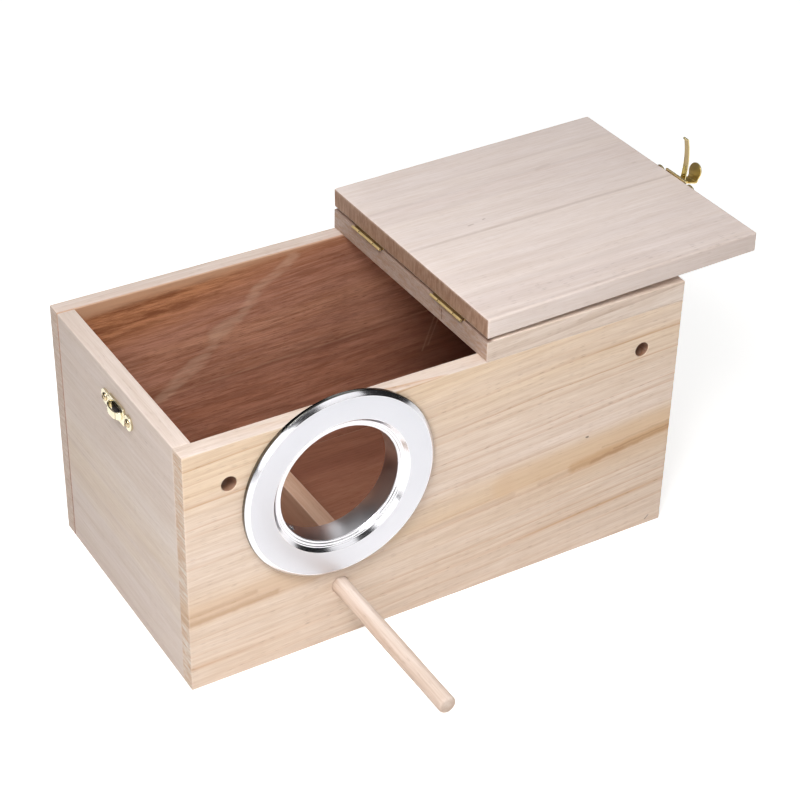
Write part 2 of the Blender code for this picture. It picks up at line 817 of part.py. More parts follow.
def make_hook(pieces, helpers, brass):
    """The hook hanging from its pin past the keeper's bridge, its tip curled in under the bridge."""
    bridge_foot = keeper_height - bridge_height / 2
    strap_x = left_face - bridge_rise - hook_stand - hook_sheet / 2
    curl_top = bridge_foot - hook_catch_gap
    curl_centre = (strap_x + hook_curl_radius, curl_top - hook_sheet / 2)
    curl = arc_points(curl_centre, hook_curl_radius, 180, 180 + hook_curl_degrees, hook_bend_steps)
    centre_line = [(hook_pivot.x, hook_pivot.z - hook_knuckle_radius * hook_root_share)] + curl
    hook = sheet_outline("latch_hook", ribbon(centre_line, hook_sheet), hook_width, pieces)
    turn = Matrix(((1, 0, 0, 0), (0, 0, -1, 0), (0, 1, 0, 0), (0, 0, 0, 1)))
    move_mesh(hook, Matrix.Translation((0, latch_across, 0)) @ turn)
    half = hook_width / 2
    ends = along_y(latch_across - half, latch_across + half, hook_pivot.x, hook_pivot.z)
    add(hook, cylinder("hook_knuckle", hook_knuckle_radius, *ends, barrel_sides, helpers))
    bore_ends = along_y(
        latch_across - half - overrun, latch_across + half + overrun, hook_pivot.x, hook_pivot.z
    )
    bore_radius = hook_pin_radius + hook_pin_clearance
    cut(hook, cylinder("hook_bore", bore_radius, *bore_ends, fine_sides, helpers))
    return finish(hook, brass, smooth_degrees)


def make_hook_pin(pieces, brass):
    reach = lever_arm_inner + lever_arm_thickness
    ends = along_y(latch_across - reach, latch_across + reach, hook_pivot.x, hook_pivot.z)
    return finish(cylinder("hook_pin", hook_pin_radius, *ends, fine_sides, pieces), brass, smooth_degrees)


def build():
    clear_scene()
    pieces = collection("bird_breeding_box")
    helpers = collection("cutters")
    outer_wood = material("pale_wood", (0.74, 0.60, 0.43), 0.62)
    lid_wood = material("lid_wood", (0.72, 0.60, 0.51), 0.62)
    perch_wood = material("perch_wood", (0.70, 0.53, 0.40), 0.6)
    aluminium = material("aluminium", (0.82, 0.83, 0.85), 0.22, 1.0)
    steel = material("steel", (0.72, 0.72, 0.74), 0.25, 1.0)
    brass = material("brass", (0.78, 0.58, 0.25), 0.24, 1.0)

    front, left = make_panels(pieces, helpers, outer_wood)
    roof = make_roof(pieces, lid_wood)
    lid = make_lid(pieces, lid_wood)
    make_ring(front, pieces, helpers, aluminium, steel)
    make_perch(pieces, perch_wood)

    lid_group = [lid]
    for label, way in (("front", -1), ("rear", 1)):
        centre_y = way * (box_depth / 2 - hinge_inset)
        lid_group += make_hinge(label, centre_y, roof, lid, pieces, helpers, brass)
    make_keeper(left, pieces, helpers, brass)
    lid_group += make_latch_base(lid, pieces, helpers, brass)
    lid_group += make_rivets(pieces, brass)
    finish(roof, lid_wood)
    finish(lid, lid_wood)
    finish(left, outer_wood)

    lid_hinge = pivot_empty("lid_hinge", hinge_axis, pieces)
    lever_hinge = pivot_empty("lever_hinge", lever_pivot, pieces, lid_hinge, hinge_axis)
    hook_hinge = pivot_empty("hook_hinge", hook_pivot, pieces, lever_hinge, lever_pivot)
    for piece in lid_group:
        attach(piece, lid_hinge, hinge_axis)
    attach(make_lever(pieces, helpers, brass), lever_hinge, lever_pivot)
    attach(make_hook_pin(pieces, brass), lever_hinge, lever_pivot)
    attach(make_hook(pieces, helpers, brass), hook_hinge, hook_pivot)
    lid_hinge.rotation_euler.y = radians(lid_open_degrees)
    lever_hinge.rotation_euler.y = radians(-lever_release_degrees)
    hook_hinge.rotation_euler.y = radians(lever_release_degrees)


build()
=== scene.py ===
import math

import bmesh
import bpy
from mathutils import Matrix, Vector, noise


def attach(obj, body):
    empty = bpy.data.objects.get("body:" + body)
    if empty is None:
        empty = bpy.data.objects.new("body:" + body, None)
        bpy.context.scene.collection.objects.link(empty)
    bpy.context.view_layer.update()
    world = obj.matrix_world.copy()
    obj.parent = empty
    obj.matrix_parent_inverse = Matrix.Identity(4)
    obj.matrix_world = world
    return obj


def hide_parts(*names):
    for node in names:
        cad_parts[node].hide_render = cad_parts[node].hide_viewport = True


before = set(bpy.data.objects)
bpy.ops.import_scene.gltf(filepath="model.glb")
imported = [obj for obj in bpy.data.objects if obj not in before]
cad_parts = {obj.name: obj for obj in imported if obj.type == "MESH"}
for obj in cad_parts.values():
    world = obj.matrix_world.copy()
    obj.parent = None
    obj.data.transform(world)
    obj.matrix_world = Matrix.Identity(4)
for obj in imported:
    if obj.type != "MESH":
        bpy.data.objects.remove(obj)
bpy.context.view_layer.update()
mm = 0.001
print("frame loaded:", len(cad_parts), "nodes")


# Colours are given as they look on a screen, 0 to 255.
def paint(red, green, blue):
    def toLight(level):
        share = level / 255
        return share / 12.92 if share <= 0.04045 else ((share + 0.055) / 1.055) ** 2.4
    return (toLight(red), toLight(green), toLight(blue), 1)


# A term is one output of a node. A sum of terms adds a maths node to the tree that they are in.
class Term:
    def __init__(self, socket, single=None):
        self.socket = socket
        self.tree = socket.id_data
        self.single = socket.type == "VALUE" if single is None else single

    def __add__(self, other):
        return sumOf("ADD", self, other)

    def __sub__(self, other):
        return sumOf("SUBTRACT", self, other)

    def __rsub__(self, other):
        return sumOf("SUBTRACT", other, self)

    def __mul__(self, other):
        return sumOf("MULTIPLY", self, other)

    def __truediv__(self, other):
        return sumOf("DIVIDE", self, other)


def feed(socket, value):
    if isinstance(value, Term):
        value.tree.links.new(value.socket, socket)
    else:
        socket.default_value = value


def addNode(tree, kind, inputs=None, **settings):
    node = tree.nodes.new(kind)
    for key, value in settings.items():
        setattr(node, key, value)
    for key, value in (inputs or {}).items():
        feed(node.inputs[key], value)
    return node


def read(tree, kind, output, inputs=None, **settings):
    return Term(addNode(tree, kind, inputs, **settings).outputs[output])


def treeOf(*parts):
    return next(part.tree for part in parts if isinstance(part, Term))


def sumOf(operation, first, second=None, clamp=False):
    given = [part for part in (first, second) if part is not None]
    single = all(part.single if isinstance(part, Term) else isinstance(part, (int, float)) for part in given)
    tree = treeOf(*given)
    inputs = dict(enumerate(given))
    if single:
        return read(tree, "ShaderNodeMath", 0, inputs, operation=operation, use_clamp=clamp)
    output = "Value" if operation in ("LENGTH", "DOT_PRODUCT") else "Vector"
    return read(tree, "ShaderNodeVectorMath", output, inputs, operation=operation)


def clamped(first, second):
    return sumOf("MULTIPLY", first, second, clamp=True)


def soften(value, low, high, toLow=0.0, toHigh=1.0):
    return read(value.tree, "ShaderNodeMapRange", "Result", {
        "Value": value, "From Min": low, "From Max": high, "To Min": toLow, "To Max": toHigh,
    }, interpolation_type="SMOOTHSTEP")


def cloud(place, scale, detail=2.0, roughness=0.5, output=0):
    return read(place.tree, "ShaderNodeTexNoise", output, {
        "Vector": place, "Scale": scale, "Detail": detail, "Roughness": roughness,
    })


def mixColour(share, first, second, blend="MIX"):
    # a mix node keeps its sockets for colours after those for numbers and vectors
    return read(treeOf(share, first, second), "ShaderNodeMix", 2, {0: share, 6: first, 7: second},
                data_type="RGBA", blend_type=blend)


def ramp(share, stops, single=False):
    # the stops are places from 0 to 1 and their colours, in order
    node = addNode(share.tree, "ShaderNodeValToRGB", {0: share})
    elements = node.color_ramp.elements
    elements[0].color = stops[0][1]
    elements[1].color = stops[-1][1]
    for position, colour in stops[1:-1]:
        elements.new(position).color = colour
    return Term(node.outputs[0], single)


def apart(place):
    split = addNode(place.tree, "ShaderNodeSeparateXYZ", {0: place})
    return [Term(split.outputs[axis]) for axis in "XYZ"]


def scaled(parts):
    return [part * mm for part in parts]


# A node group: each input and output is named, with its kind of socket and the value it starts from.
def newGroup(name, kind, inputs, outputs):
    tree = bpy.data.node_groups.new(name, kind)
    for way, sockets in (("INPUT", inputs), ("OUTPUT", outputs)):
        for label, (socketKind, value) in sockets.items():
            socket = tree.interface.new_socket(label, in_out=way, socket_type="NodeSocket" + socketKind)
            if value is not None:
                socket.default_value = value
    given = {socket.name: Term(socket) for socket in tree.nodes.new("NodeGroupInput").outputs if socket.name}
    return tree, given, tree.nodes.new("NodeGroupOutput").inputs


def newSurface(name):
    surface = bpy.data.materials.new(name)
    surface.use_nodes = True
    return surface, surface.node_tree


def shaderOf(tree):
    return tree.nodes["Principled BSDF"].inputs


def addObject(name, data):
    holder = bpy.data.objects.new(name, data)
    bpy.context.scene.collection.objects.link(holder)
    return holder


# The camera stands in front of the box's left end and above it.
cameraView = {
    "place": (-0.4832, -0.8205, 0.7332),
    "looking": (0.4329, 0.7043, -0.5626),
    "rollDegrees": 1.39,
    "lens": 93.71,
    "clip": (0.01, 50),
}


def placeCamera(view):
    back = -Vector(view["looking"]).normalized()
    level = Vector((0, 0, 1)).cross(back).normalized()
    upright = back.cross(level)
    roll = math.radians(view["rollDegrees"])
    right = level * math.cos(roll) + upright * math.sin(roll)
    up = upright * math.cos(roll) - level * math.sin(roll)
    camera = addObject("camera", bpy.data.cameras.new("camera"))
    camera.data.lens = view["lens"]
    camera.data.clip_start, camera.data.clip_end = view["clip"]
    turn = Matrix((right, up, back)).transposed().to_4x4()
    camera.matrix_world = Matrix.Translation(view["place"]) @ turn
    bpy.context.scene.camera = camera


# A dim room with a pale ceiling and four softboxes: one at the front right, a panel beside the camera, a
# near one over the front left corner, from where the light falls off, and a weak one behind on the right.
# Each softbox has its place, its size and its power.
studio = {
    "ceiling": 0.58,
    "walls": 0.02,
    "ceilingFrom": 0.62,
    "ceilingFull": 0.9,
    "softboxes": {
        "keyLight": ((0.50, -1.08, 1.18), (0.95, 0.8), 3.0),
        "panelLight": ((-0.56, -0.87, 0.39), (0.54, 0.54), 2.05),
        "topLight": ((-0.40, -0.36, 0.80), (0.4, 0.35), 6.2),
        "rearLight": ((0.54, 0.91, 0.86), (0.6, 0.5), 0.9),
    },
    "aim": (0, 0, 0.08),
    "floorHalf": 6,
    "floorDrop": 0.2 * mm,
    "floorTone": (236, 235, 233),
    "floorShow": 0.62,
}


def buildRoom():
    world = bpy.data.worlds.new("studio")
    bpy.context.scene.world = world
    world.use_nodes = True
    tree = world.node_tree
    background = tree.nodes["Background"].inputs
    feed(background["Color"], (1, 1, 1, 1))
    height = apart(read(tree, "ShaderNodeTexCoord", "Generated"))[2]
    room = soften(height, studio["ceilingFrom"], studio["ceilingFull"], studio["walls"], studio["ceiling"])
    seen = read(tree, "ShaderNodeLightPath", "Is Camera Ray")
    feed(background["Strength"], read(tree, "ShaderNodeMix", 0, {0: seen, 2: room, 3: 1.0}))


def buildFloor():
    half, low = studio["floorHalf"], -studio["floorDrop"]
    mesh = bpy.data.meshes.new("floor")
    corners = [(-half, -half, low), (half, -half, low), (half, half, low), (-half, half, low)]
    mesh.from_pydata(corners, [], [(0, 1, 2, 3)])
    surface, tree = newSurface("studioFloor")
    shader = shaderOf(tree)
    shader["Base Color"].default_value = paint(*studio["floorTone"])
    shader["Roughness"].default_value = 0.9
    shader["Specular IOR Level"].default_value = 0.1
    rays = addNode(tree, "ShaderNodeLightPath").outputs
    shown = sumOf("MAXIMUM", Term(rays["Is Camera Ray"]), Term(rays["Is Glossy Ray"]))
    shader["Emission Color"].default_value = (1, 1, 1, 1)
    feed(shader["Emission Strength"], shown * studio["floorShow"])
    mesh.materials.append(surface)
    addObject("floor", mesh)


def addSoftboxes():
    for name, (place, size, power) in studio["softboxes"].items():
        lamp = bpy.data.lights.new(name, "AREA")
        lamp.shape = "RECTANGLE"
        lamp.size, lamp.size_y = size
        lamp.energy = power
        aim = (Vector(place) - Vector(studio["aim"])).to_track_quat("Z", "Y")
        addObject(name, lamp).matrix_world = Matrix.Translation(place) @ aim.to_matrix().to_4x4()


placeCamera(cameraView)
buildRoom()
buildFloor()
addSoftboxes()
bpy.context.scene.view_settings.view_transform = "Standard"
print("camera and studio ready")


# One way of growing wood for every board: rings round a pith line, fibres and pores along it.
# A stretch is how many times a pattern repeats in a metre, along the grain and twice across it.
woodGrowth = {
    "slowWander": (3.2, 12, 12),
    "quickWander": (22, 70, 70),
    "quickShare": (0.12, 0.12, 0.12),
    "yearScale": 70,
    "yearShift": 2.5,
    "yearRise": ((0, 0.05), (0.1, 1.0), (0.2, 0.55), (0.5, 0.14), (0.85, 0.02), (1, 0.05)),
    "ringFade": (6, 70, 70),
    "bands": (3.0, 55, 55),
    "fineFibres": ((60, 1500, 1500), 0.6),
    "middleFibres": ((22, 520, 520), 0.6),
    "broadFibres": ((9, 170, 170), 0.55),
    "pores": (150, 1500, 1500),
    "fibreTint": (0.72, 1.0, 1.3),
    "endShare": 0.75,
    "dullness": 0.64,
}


def buildSolidWood(growth):
    group, given, result = newGroup("solidWood", "ShaderNodeTree", {
        "Vector": ("Vector", None),
        "Ring Pitch": ("Float", 0.006),
        "Ring Wander": ("Float", 0.006),
        "Ring Strength": ("Float", 0.5),
        "Pore Strength": ("Float", 0.5),
        "Fibre Strength": ("Float", 0.5),
        "End Share": ("Float", 0.0),
        "End Stretch": ("Vector", None),
        "Pale": ("Color", (0.8, 0.6, 0.45, 1)),
        "Blush": ("Color", (0.8, 0.6, 0.5, 1)),
        "Ring": ("Color", (0.6, 0.4, 0.25, 1)),
        "Pore": ("Color", (0.3, 0.18, 0.1, 1)),
        "End": ("Color", (0.5, 0.35, 0.25, 1)),
    }, {"Color": ("Color", None), "Roughness": ("Float", None), "Height": ("Float", None)})
    place = given["Vector"]

    # the rings wander slowly along the grain, and every fibre a little
    slow = cloud(place * growth["slowWander"], 1, 1, output="Color") - (0.5, 0.5, 0.5)
    quick = cloud(place * growth["quickWander"], 1, 1, output="Color") - (0.5, 0.5, 0.5)
    wander = slow + quick * growth["quickShare"]
    reach = read(group, "ShaderNodeCombineXYZ", 0, {axis: given["Ring Wander"] for axis in "YZ"})
    bent = place + wander * reach
    distance = sumOf("LENGTH", bent * (0, 1, 1))

    # the years differ in width and in how dark they close
    years = read(group, "ShaderNodeTexNoise", 0, {"W": distance, "Scale": growth["yearScale"], "Detail": 1},
                 noise_dimensions="1D")
    phase = distance / given["Ring Pitch"] + years * growth["yearShift"]
    yearTone = read(group, "ShaderNodeTexWhiteNoise", 0, {"W": sumOf("FLOOR", phase)}, noise_dimensions="1D")
    rise = [(position, (level, level, level, 1)) for position, level in growth["yearRise"]]
    ringLine = ramp(sumOf("FRACT", phase), rise, single=True)
    ringLine = ringLine * soften(yearTone, 0.0, 1.0, 0.25, 1.0)
    fade = soften(cloud(place * growth["ringFade"], 1, 2), 0.35, 0.62, 0.3, 1.0)
    ringShare = clamped(ringLine * fade, given["Ring Strength"])

    # broad bands of a second tone, then fibres from a hair's width to a few millimetres
    bandShare = soften(cloud(bent * growth["bands"], 1, 3), 0.36, 0.66)
    fineShare, middleShare, broadShare = [
        soften(cloud(bent * growth[size][0], 1, 2, growth[size][1]), 0.3, 0.7, -0.5, 0.5)
        for size in ("fineFibres", "middleFibres", "broadFibres")
    ]

    # open pores, as short dark streaks
    cells = addNode(group, "ShaderNodeTexVoronoi", {"Vector": bent * growth["pores"], "Scale": 1}).outputs
    lot = read(group, "ShaderNodeSeparateColor", 0, {0: Term(cells["Color"])})
    streak = soften(Term(cells["Distance"]), 0.12, 0.38, 1.0, 0.0)
    poreShare = streak * soften(lot, 0.55, 0.8) * (ringLine * 0.8 + 0.3)

    tone = mixColour(bandShare, given["Pale"], given["Blush"])
    endCells = soften(cloud(place * given["End Stretch"], 1, 3, 0.65), 0.32, 0.68)
    ends = mixColour(growth["endShare"], given["End"], mixColour(endCells, given["End"], given["Ring"]))
    tone = mixColour(given["End Share"], tone, ends)
    tone = mixColour(ringShare, tone, given["Ring"])
    lift = (fineShare * 0.75 + middleShare * 0.8 + broadShare * 0.32) * given["Fibre Strength"]
    # darker fibres are warmer too
    bright = read(group, "ShaderNodeCombineColor", 0, {
        index: lift * share + 1.0 for index, share in enumerate(growth["fibreTint"])
    })
    tone = mixColour(1.0, tone, bright, "MULTIPLY")
    feed(result["Color"], mixColour(clamped(poreShare, given["Pore Strength"]), tone, given["Pore"]))
    feed(result["Roughness"], middleShare * 0.12 + growth["dullness"] + poreShare * 0.15)
    feed(result["Height"], fineShare * 0.5 + middleShare * 0.6 - poreShare * 1.3 - ringLine * 0.3)
    return group


# A mark along a straight line on a board: a scratch, a split, a smear of glue.
def buildLineMark():
    group, given, result = newGroup("lineMark", "ShaderNodeTree", {
        "Vector": ("Vector", None),
        "Start": ("Vector", None),
        "End": ("Vector", None),
        "Width": ("Float", None),
        "Soft": ("Float", None),
    }, {"Share": ("Float", None)})
    way = given["End"] - given["Start"]
    arm = given["Vector"] - given["Start"]
    share = sumOf("DIVIDE", sumOf("DOT_PRODUCT", arm, way), sumOf("DOT_PRODUCT", way, way), clamp=True)
    along = read(group, "ShaderNodeVectorMath", "Vector", {0: way, "Scale": share}, operation="SCALE")
    away = sumOf("LENGTH", arm - along)
    half = given["Width"] * 0.5
    feed(result["Share"], soften(away, half, half + given["Soft"], 1.0, 0.0))
    return group


solidWood = buildSolidWood(woodGrowth)
lineMark = buildLineMark()


def markLine(place, start, end, width, soft):
    return read(place.tree, "ShaderNodeGroup", "Share", {
        "Vector": place, "Start": scaled(start), "End": scaled(end), "Width": width * mm, "Soft": soft * mm,
    }, node_tree=lineMark)


# Each board is cut from its own place in the log. "zones" gives the tone at places across the board,
# in millimetres along "across", and "tilt" is how far they climb for each millimetre along the board.
boardWoods = {
    "frontWood": {
        "pith": (0.0, 0.03, -0.12), "turn": (0, 3.2, 0), "pitch": 0.0042, "wander": 0.012,
        "rings": 0.78, "pores": 0.6, "fibres": 0.15,
        "across": "Z", "along": "X", "tilt": 0.06, "drift": 9,
        "zones": (
            (0, (224, 203, 186)), (20, (227, 205, 186)), (36, (229, 208, 190)), (43, (226, 202, 179)),
            (49, (221, 192, 163)), (56, (226, 200, 172)), (64, (229, 204, 178)), (71, (230, 206, 184)),
            (75, (235, 215, 200)), (92, (235, 215, 199)), (106, (234, 213, 194)), (115, (232, 209, 186)),
            (130, (234, 209, 182)), (148, (232, 207, 180)),
        ),
        "blush": (231, 209, 190), "ring": (200, 152, 106), "pore": (136, 96, 68), "end": (228, 217, 206),
        "top": (222, 206, 197),
        "marks": (
            ((40, 0, 63), (151, 0, 71), 9.0, 7.0, 0.5, (222, 188, 150)),
            ((85, 0, 59), (151, 0, 66.5), 2.2, 4.0, 0.55, (198, 150, 102)),
            ((97, 0, 58.5), (151, 0, 65), 0.7, 1.4, 0.34, (158, 108, 66)),
            ((112, 0, 62.6), (151, 0, 67), 0.3, 0.9, 0.36, (144, 96, 58)),
            ((104, 0, 66.0), (151, 0, 70), 0.3, 0.9, 0.24, (158, 110, 70)),
            ((62, 0, 55.5), (118, 0, 61.5), 0.5, 1.8, 0.24, (166, 118, 76)),
            ((-30, 0, 55), (40, 0, 61), 5.0, 6.0, 0.35, (222, 190, 154)),
            ((-20, 0, 50), (46, 0, 55), 0.6, 2.2, 0.2, (172, 124, 84)),
            ((-151, 0, 48.0), (-80, 0, 52), 8.0, 7.0, 0.45, (218, 182, 144)),
            ((-151, 0, 43.4), (-100, 0, 46.0), 0.8, 2.6, 0.36, (172, 124, 82)),
            ((-151, 0, 48.4), (-112, 0, 50.4), 0.5, 2.0, 0.3, (178, 130, 90)),
            ((92.0, 0, 77.2), (93.4, 0, 77.3), 0.5, 0.5, 0.75, (84, 56, 40)),
            ((139.0, 0, 3.6), (141.2, 0, 5.6), 0.3, 0.5, 0.6, (110, 78, 58)),
        ),
    },
    "leftWood": {
        "pith": (-0.06, 0.0, -0.05), "turn": (0, 0, 90), "pitch": 0.0065, "wander": 0.012,
        "rings": 0.3, "pores": 0.4, "fibres": 0.12,
        "across": "Z", "along": "Y", "tilt": 0.03, "drift": 9, "flat": (0, 1, 1),
        "zones": (
            (0, (219, 201, 190)), (20, (222, 206, 197)), (38, (223, 208, 198)), (43, (227, 211, 197)),
            (50, (222, 203, 186)), (64, (223, 205, 188)), (74, (225, 208, 193)), (90, (225, 210, 200)),
            (103, (220, 203, 189)), (116, (218, 202, 192)), (148, (221, 205, 196)),
        ),
        "blush": (220, 203, 192), "ring": (190, 166, 148), "pore": (140, 116, 100), "end": (222, 206, 194),
        "top": (222, 204, 194),
    },
    "lidWood": {
        "pith": (0.0, 0.02, 0.42), "turn": (0, 0, 0.8), "pitch": 0.011, "wander": 0.006,
        "rings": 0.1, "pores": 0.42, "fibres": 0.1, "flat": (1, 1, 0), "endStretch": (60, 700, 150),
        "across": "Y", "along": "X", "tilt": -0.014, "drift": 2.5,
        "zones": (
            (-80, (232, 217, 209)), (-77, (217, 201, 193)), (-74, (233, 218, 210)), (-65, (222, 206, 199)),
            (-62, (234, 219, 212)), (-54, (222, 206, 198)), (-50, (233, 218, 210)), (-34, (226, 210, 202)),
            (-31, (233, 218, 210)), (-3, (233, 218, 210)), (-1.5, (211, 194, 185)), (0.5, (232, 217, 209)),
            (27, (232, 217, 209)), (29, (224, 208, 200)), (33, (230, 214, 207)), (41, (229, 213, 206)),
            (43, (213, 196, 188)), (45, (231, 216, 208)), (56, (231, 216, 208)), (58, (219, 203, 195)),
            (60, (231, 216, 209)), (80, (231, 216, 208)),
        ),
        "blush": (228, 213, 206), "ring": (142, 104, 82), "pore": (150, 130, 120), "end": (178, 146, 124),
        "marks": (
            ((66, 5.5, 0), (69, 6.2, 0), 0.4, 0.6, 0.4, (150, 122, 106)),
            ((76, 7.4, 0), (77.4, 7.6, 0), 0.5, 0.5, 0.4, (150, 122, 106)),
            ((133, 40, 0), (142, 42, 0), 1.0, 1.8, 0.12, (170, 140, 120)),
        ),
    },
    "roofWood": {
        "pith": (0.0, 0.05, -0.16), "turn": (0, 4.0, 1.0), "pitch": 0.0055, "wander": 0.016,
        "rings": 0.5, "pores": 0.45, "fibres": 0.16,
        "across": "Y", "along": "X", "tilt": 0.02, "drift": 8, "flat": (0, 1, 1),
        "endStretch": (60, 160, 900),
        "zones": (
            (-80, (234, 217, 204)), (-50, (230, 213, 202)), (-20, (232, 216, 206)), (10, (226, 208, 194)),
            (40, (232, 216, 205)), (80, (230, 214, 204)),
        ),
        "blush": (226, 207, 192), "ring": (172, 138, 112), "pore": (134, 104, 84), "end": (190, 170, 160),
        # painted shade on the roof's top beside the lid's end: from and to along the box in millimetres, its
        # share and its tone
        "shade": (25.2, 28.5, 0.85, (120, 86, 68)),
        "marks": (
            ((0, -36.2, 150.4), (0, -35.4, 155.6), 0.25, 0.5, 0.8, (84, 46, 36)),
            ((0, -33.5, 154.6), (0, -33.0, 157.5), 0.2, 0.4, 0.5, (110, 70, 56)),
        ),
    },
    "rimWood": {
        "pith": (0.0, 0.20, 0.03), "turn": (0, 1.0, 0), "pitch": 0.005, "wander": 0.012,
        "rings": 0.4, "pores": 0.45, "fibres": 0.14,
        "across": "Z", "along": "X", "tilt": 0.03, "drift": 8,
        "zones": (
            (0, (226, 208, 194)), (40, (230, 212, 198)), (74, (226, 206, 190)), (110, (230, 212, 200)),
            (148, (232, 213, 202)),
        ),
        "blush": (226, 207, 194), "ring": (194, 164, 142), "pore": (140, 112, 96), "end": (220, 204, 193),
        "top": (222, 205, 195),
    },
    "heartWood": {
        "pith": (0.0, -0.05, -0.10), "turn": (0, 2.0, 0), "pitch": 0.0075, "wander": 0.02,
        "rings": 0.36, "pores": 1.0, "fibres": 0.34,
        "across": "Z", "along": "X", "tilt": 0.02, "drift": 12,
        # the heart darkens towards the foot of the back wall: painted shade low inside the box
        "zones": (
            (0, (138, 90, 70)), (30, (164, 112, 88)), (60, (184, 128, 102)), (74, (182, 128, 104)),
            (79, (168, 116, 92)), (82, (188, 136, 110)), (110, (196, 142, 114)), (148, (192, 138, 108)),
        ),
        "blush": (186, 132, 108), "ring": (146, 92, 64), "pore": (104, 60, 42), "end": (170, 120, 96),
    },
    "floorWood": {
        "pith": (0.0, -0.05, -0.10), "turn": (0, 2.0, 0), "pitch": 0.0075, "wander": 0.02,
        "rings": 0.42, "pores": 0.9, "fibres": 0.26,
        "across": "Y", "along": "X", "tilt": 0.02, "drift": 12,
        "zones": (
            (-70, (176, 126, 102)), (-20, (170, 120, 96)), (14, (152, 103, 81)), (40, (134, 87, 68)),
            (70, (120, 76, 59)),
        ),
        "blush": (150, 102, 80), "ring": (120, 76, 56), "pore": (92, 54, 40), "end": (150, 104, 82),
    },
    "dividerWood": {
        "pith": (-0.02, 0.0, -0.08), "turn": (0, 0, 90), "pitch": 0.005, "wander": 0.008,
        "rings": 0.4, "pores": 0.5, "fibres": 0.14,
        "across": "Z", "along": "Y", "tilt": 0.0, "drift": 6,
        "zones": ((0, (186, 150, 126)), (24, (194, 158, 134)), (40, (206, 174, 152))),
        "blush": (196, 158, 134), "ring": (158, 116, 88), "pore": (112, 76, 56), "end": (180, 140, 114),
    },
    "perchWood": {
        "pith": (-0.080, 0.0, 0.052), "turn": (0, 0, 90), "pitch": 0.003, "wander": 0.004,
        "rings": 0.36, "pores": 0.6, "fibres": 0.17,
        "across": "X", "along": "Y", "tilt": 0.0, "drift": 2,
        # the dowel is paler along its middle and darker towards its sides, most on the right: painted
        # highlight and shade along it
        "zones": ((-68, (222, 203, 189)), (-62, (229, 211, 198)), (-56, (218, 198, 184))),
        "blush": (212, 188, 171), "ring": (186, 154, 130), "pore": (138, 106, 88), "end": (204, 178, 160),
    },
}


# What every board shares: how ragged its marks are, the tint inside its drilled holes, partly the wood's own
# tone and partly painted shade, and the pale tint of its edges, partly wear and partly a painted highlight.
boardFinish = {
    "ragScale": 130,
    "rag": (2.6 * mm, 2.6 * mm, 2.6 * mm),
    "endStretch": (60, 90, 1100),
    "topShare": 0.85,
    "bored": (0.8, (128, 82, 58)),
    "wornAndHighlit": (0.14, (240, 222, 210)),
    "gloss": 0.35,
    "bump": 0.5,
    "bumpDepth": 0.12 * mm,
}


def mask(tree, name):
    return read(tree, "ShaderNodeAttribute", "Fac", attribute_name=name)


def tonesAcross(place, look):
    # a ramp of tones over the board's width, whose borders climb and drift along the grain
    parts = dict(zip("XYZ", apart(place)))
    drift = cloud(place * [5 if axis == look["along"] else 24 for axis in "XYZ"], 1, 3, 0.6)
    where = parts[look["across"]] - parts[look["along"]] * look["tilt"]
    where = where + (drift - 0.5) * (look["drift"] * mm)
    zones = look["zones"]
    low, high = zones[0][0] * mm, zones[-1][0] * mm
    share = sumOf("DIVIDE", where - low, high - low, clamp=True)
    return ramp(share, [((height * mm - low) / (high - low), paint(*tone)) for height, tone in zones])


def growWood(tree, look):
    where = read(tree, "ShaderNodeTexCoord", "Object")
    turned = read(tree, "ShaderNodeMapping", "Vector", {
        "Vector": where - look["pith"], "Rotation": [math.radians(degrees) for degrees in look["turn"]],
    }, vector_type="POINT")
    pale = tonesAcross(where, look)
    if "top" in look:
        pale = mixColour(mask(tree, "sawnTop") * boardFinish["topShare"], pale, paint(*look["top"]))
    return addNode(tree, "ShaderNodeGroup", {
        "Vector": turned,
        "Ring Pitch": look["pitch"],
        "Ring Wander": look["wander"],
        "Ring Strength": look["rings"],
        "Pore Strength": look["pores"],
        "Fibre Strength": look["fibres"],
        "End Share": mask(tree, "endGrain"),
        "End Stretch": look.get("endStretch", boardFinish["endStretch"]),
        "Pale": pale,
        "Blush": paint(*look["blush"]),
        "Ring": paint(*look["ring"]),
        "Pore": paint(*look["pore"]),
        "End": paint(*look["end"]),
    }, node_tree=solidWood)


def finishWood(tree, colour, wood, look):
    finish = boardFinish
    shader = shaderOf(tree)
    where = read(tree, "ShaderNodeTexCoord", "Object")
    flat = where * look.get("flat", (1, 0, 1))
    shaken = flat + (cloud(where, finish["ragScale"], 4, 0.6, "Color") - (0.5, 0.5, 0.5)) * finish["rag"]
    for start, end, width, soft, share, shade in look.get("marks", ()):
        colour = mixColour(markLine(shaken, start, end, width, soft) * share, colour, paint(*shade))
    # the walls of the drilled holes are darker: partly the wood's own tone, partly painted shade inside them
    share, shade = finish["bored"]
    colour = mixColour(mask(tree, "bored") * share, colour, paint(*shade))
    if "shade" in look:
        # painted shade towards one end, on the top face alone, where the roof's top shows in the narrow gap
        # beside the lid
        start, end, share, shade = look["shade"]
        paintedShadow = soften(apart(where)[0], start * mm, end * mm, share, 0.0) * mask(tree, "sawnTop")
        colour = mixColour(paintedShadow, colour, paint(*shade))
    # the edges are paler: partly wear, partly a painted highlight where the rounding catches the light
    share, shade = finish["wornAndHighlit"]
    feed(shader["Base Color"], mixColour(mask(tree, "edge") * share, colour, paint(*shade)))
    feed(shader["Roughness"], Term(wood.outputs["Roughness"]))
    shader["Specular IOR Level"].default_value = finish["gloss"]
    addBump(shader, Term(wood.outputs["Height"]), finish["bump"], finish["bumpDepth"])


def addBump(shader, height, strength, depth):
    feed(shader["Normal"], read(height.tree, "ShaderNodeBump", "Normal", {
        "Strength": strength, "Distance": depth, "Height": height,
    }))


def woodMaterial(name, look):
    surface, tree = newSurface(name)
    wood = growWood(tree, look)
    finishWood(tree, Term(wood.outputs["Color"]), wood, look)
    return surface


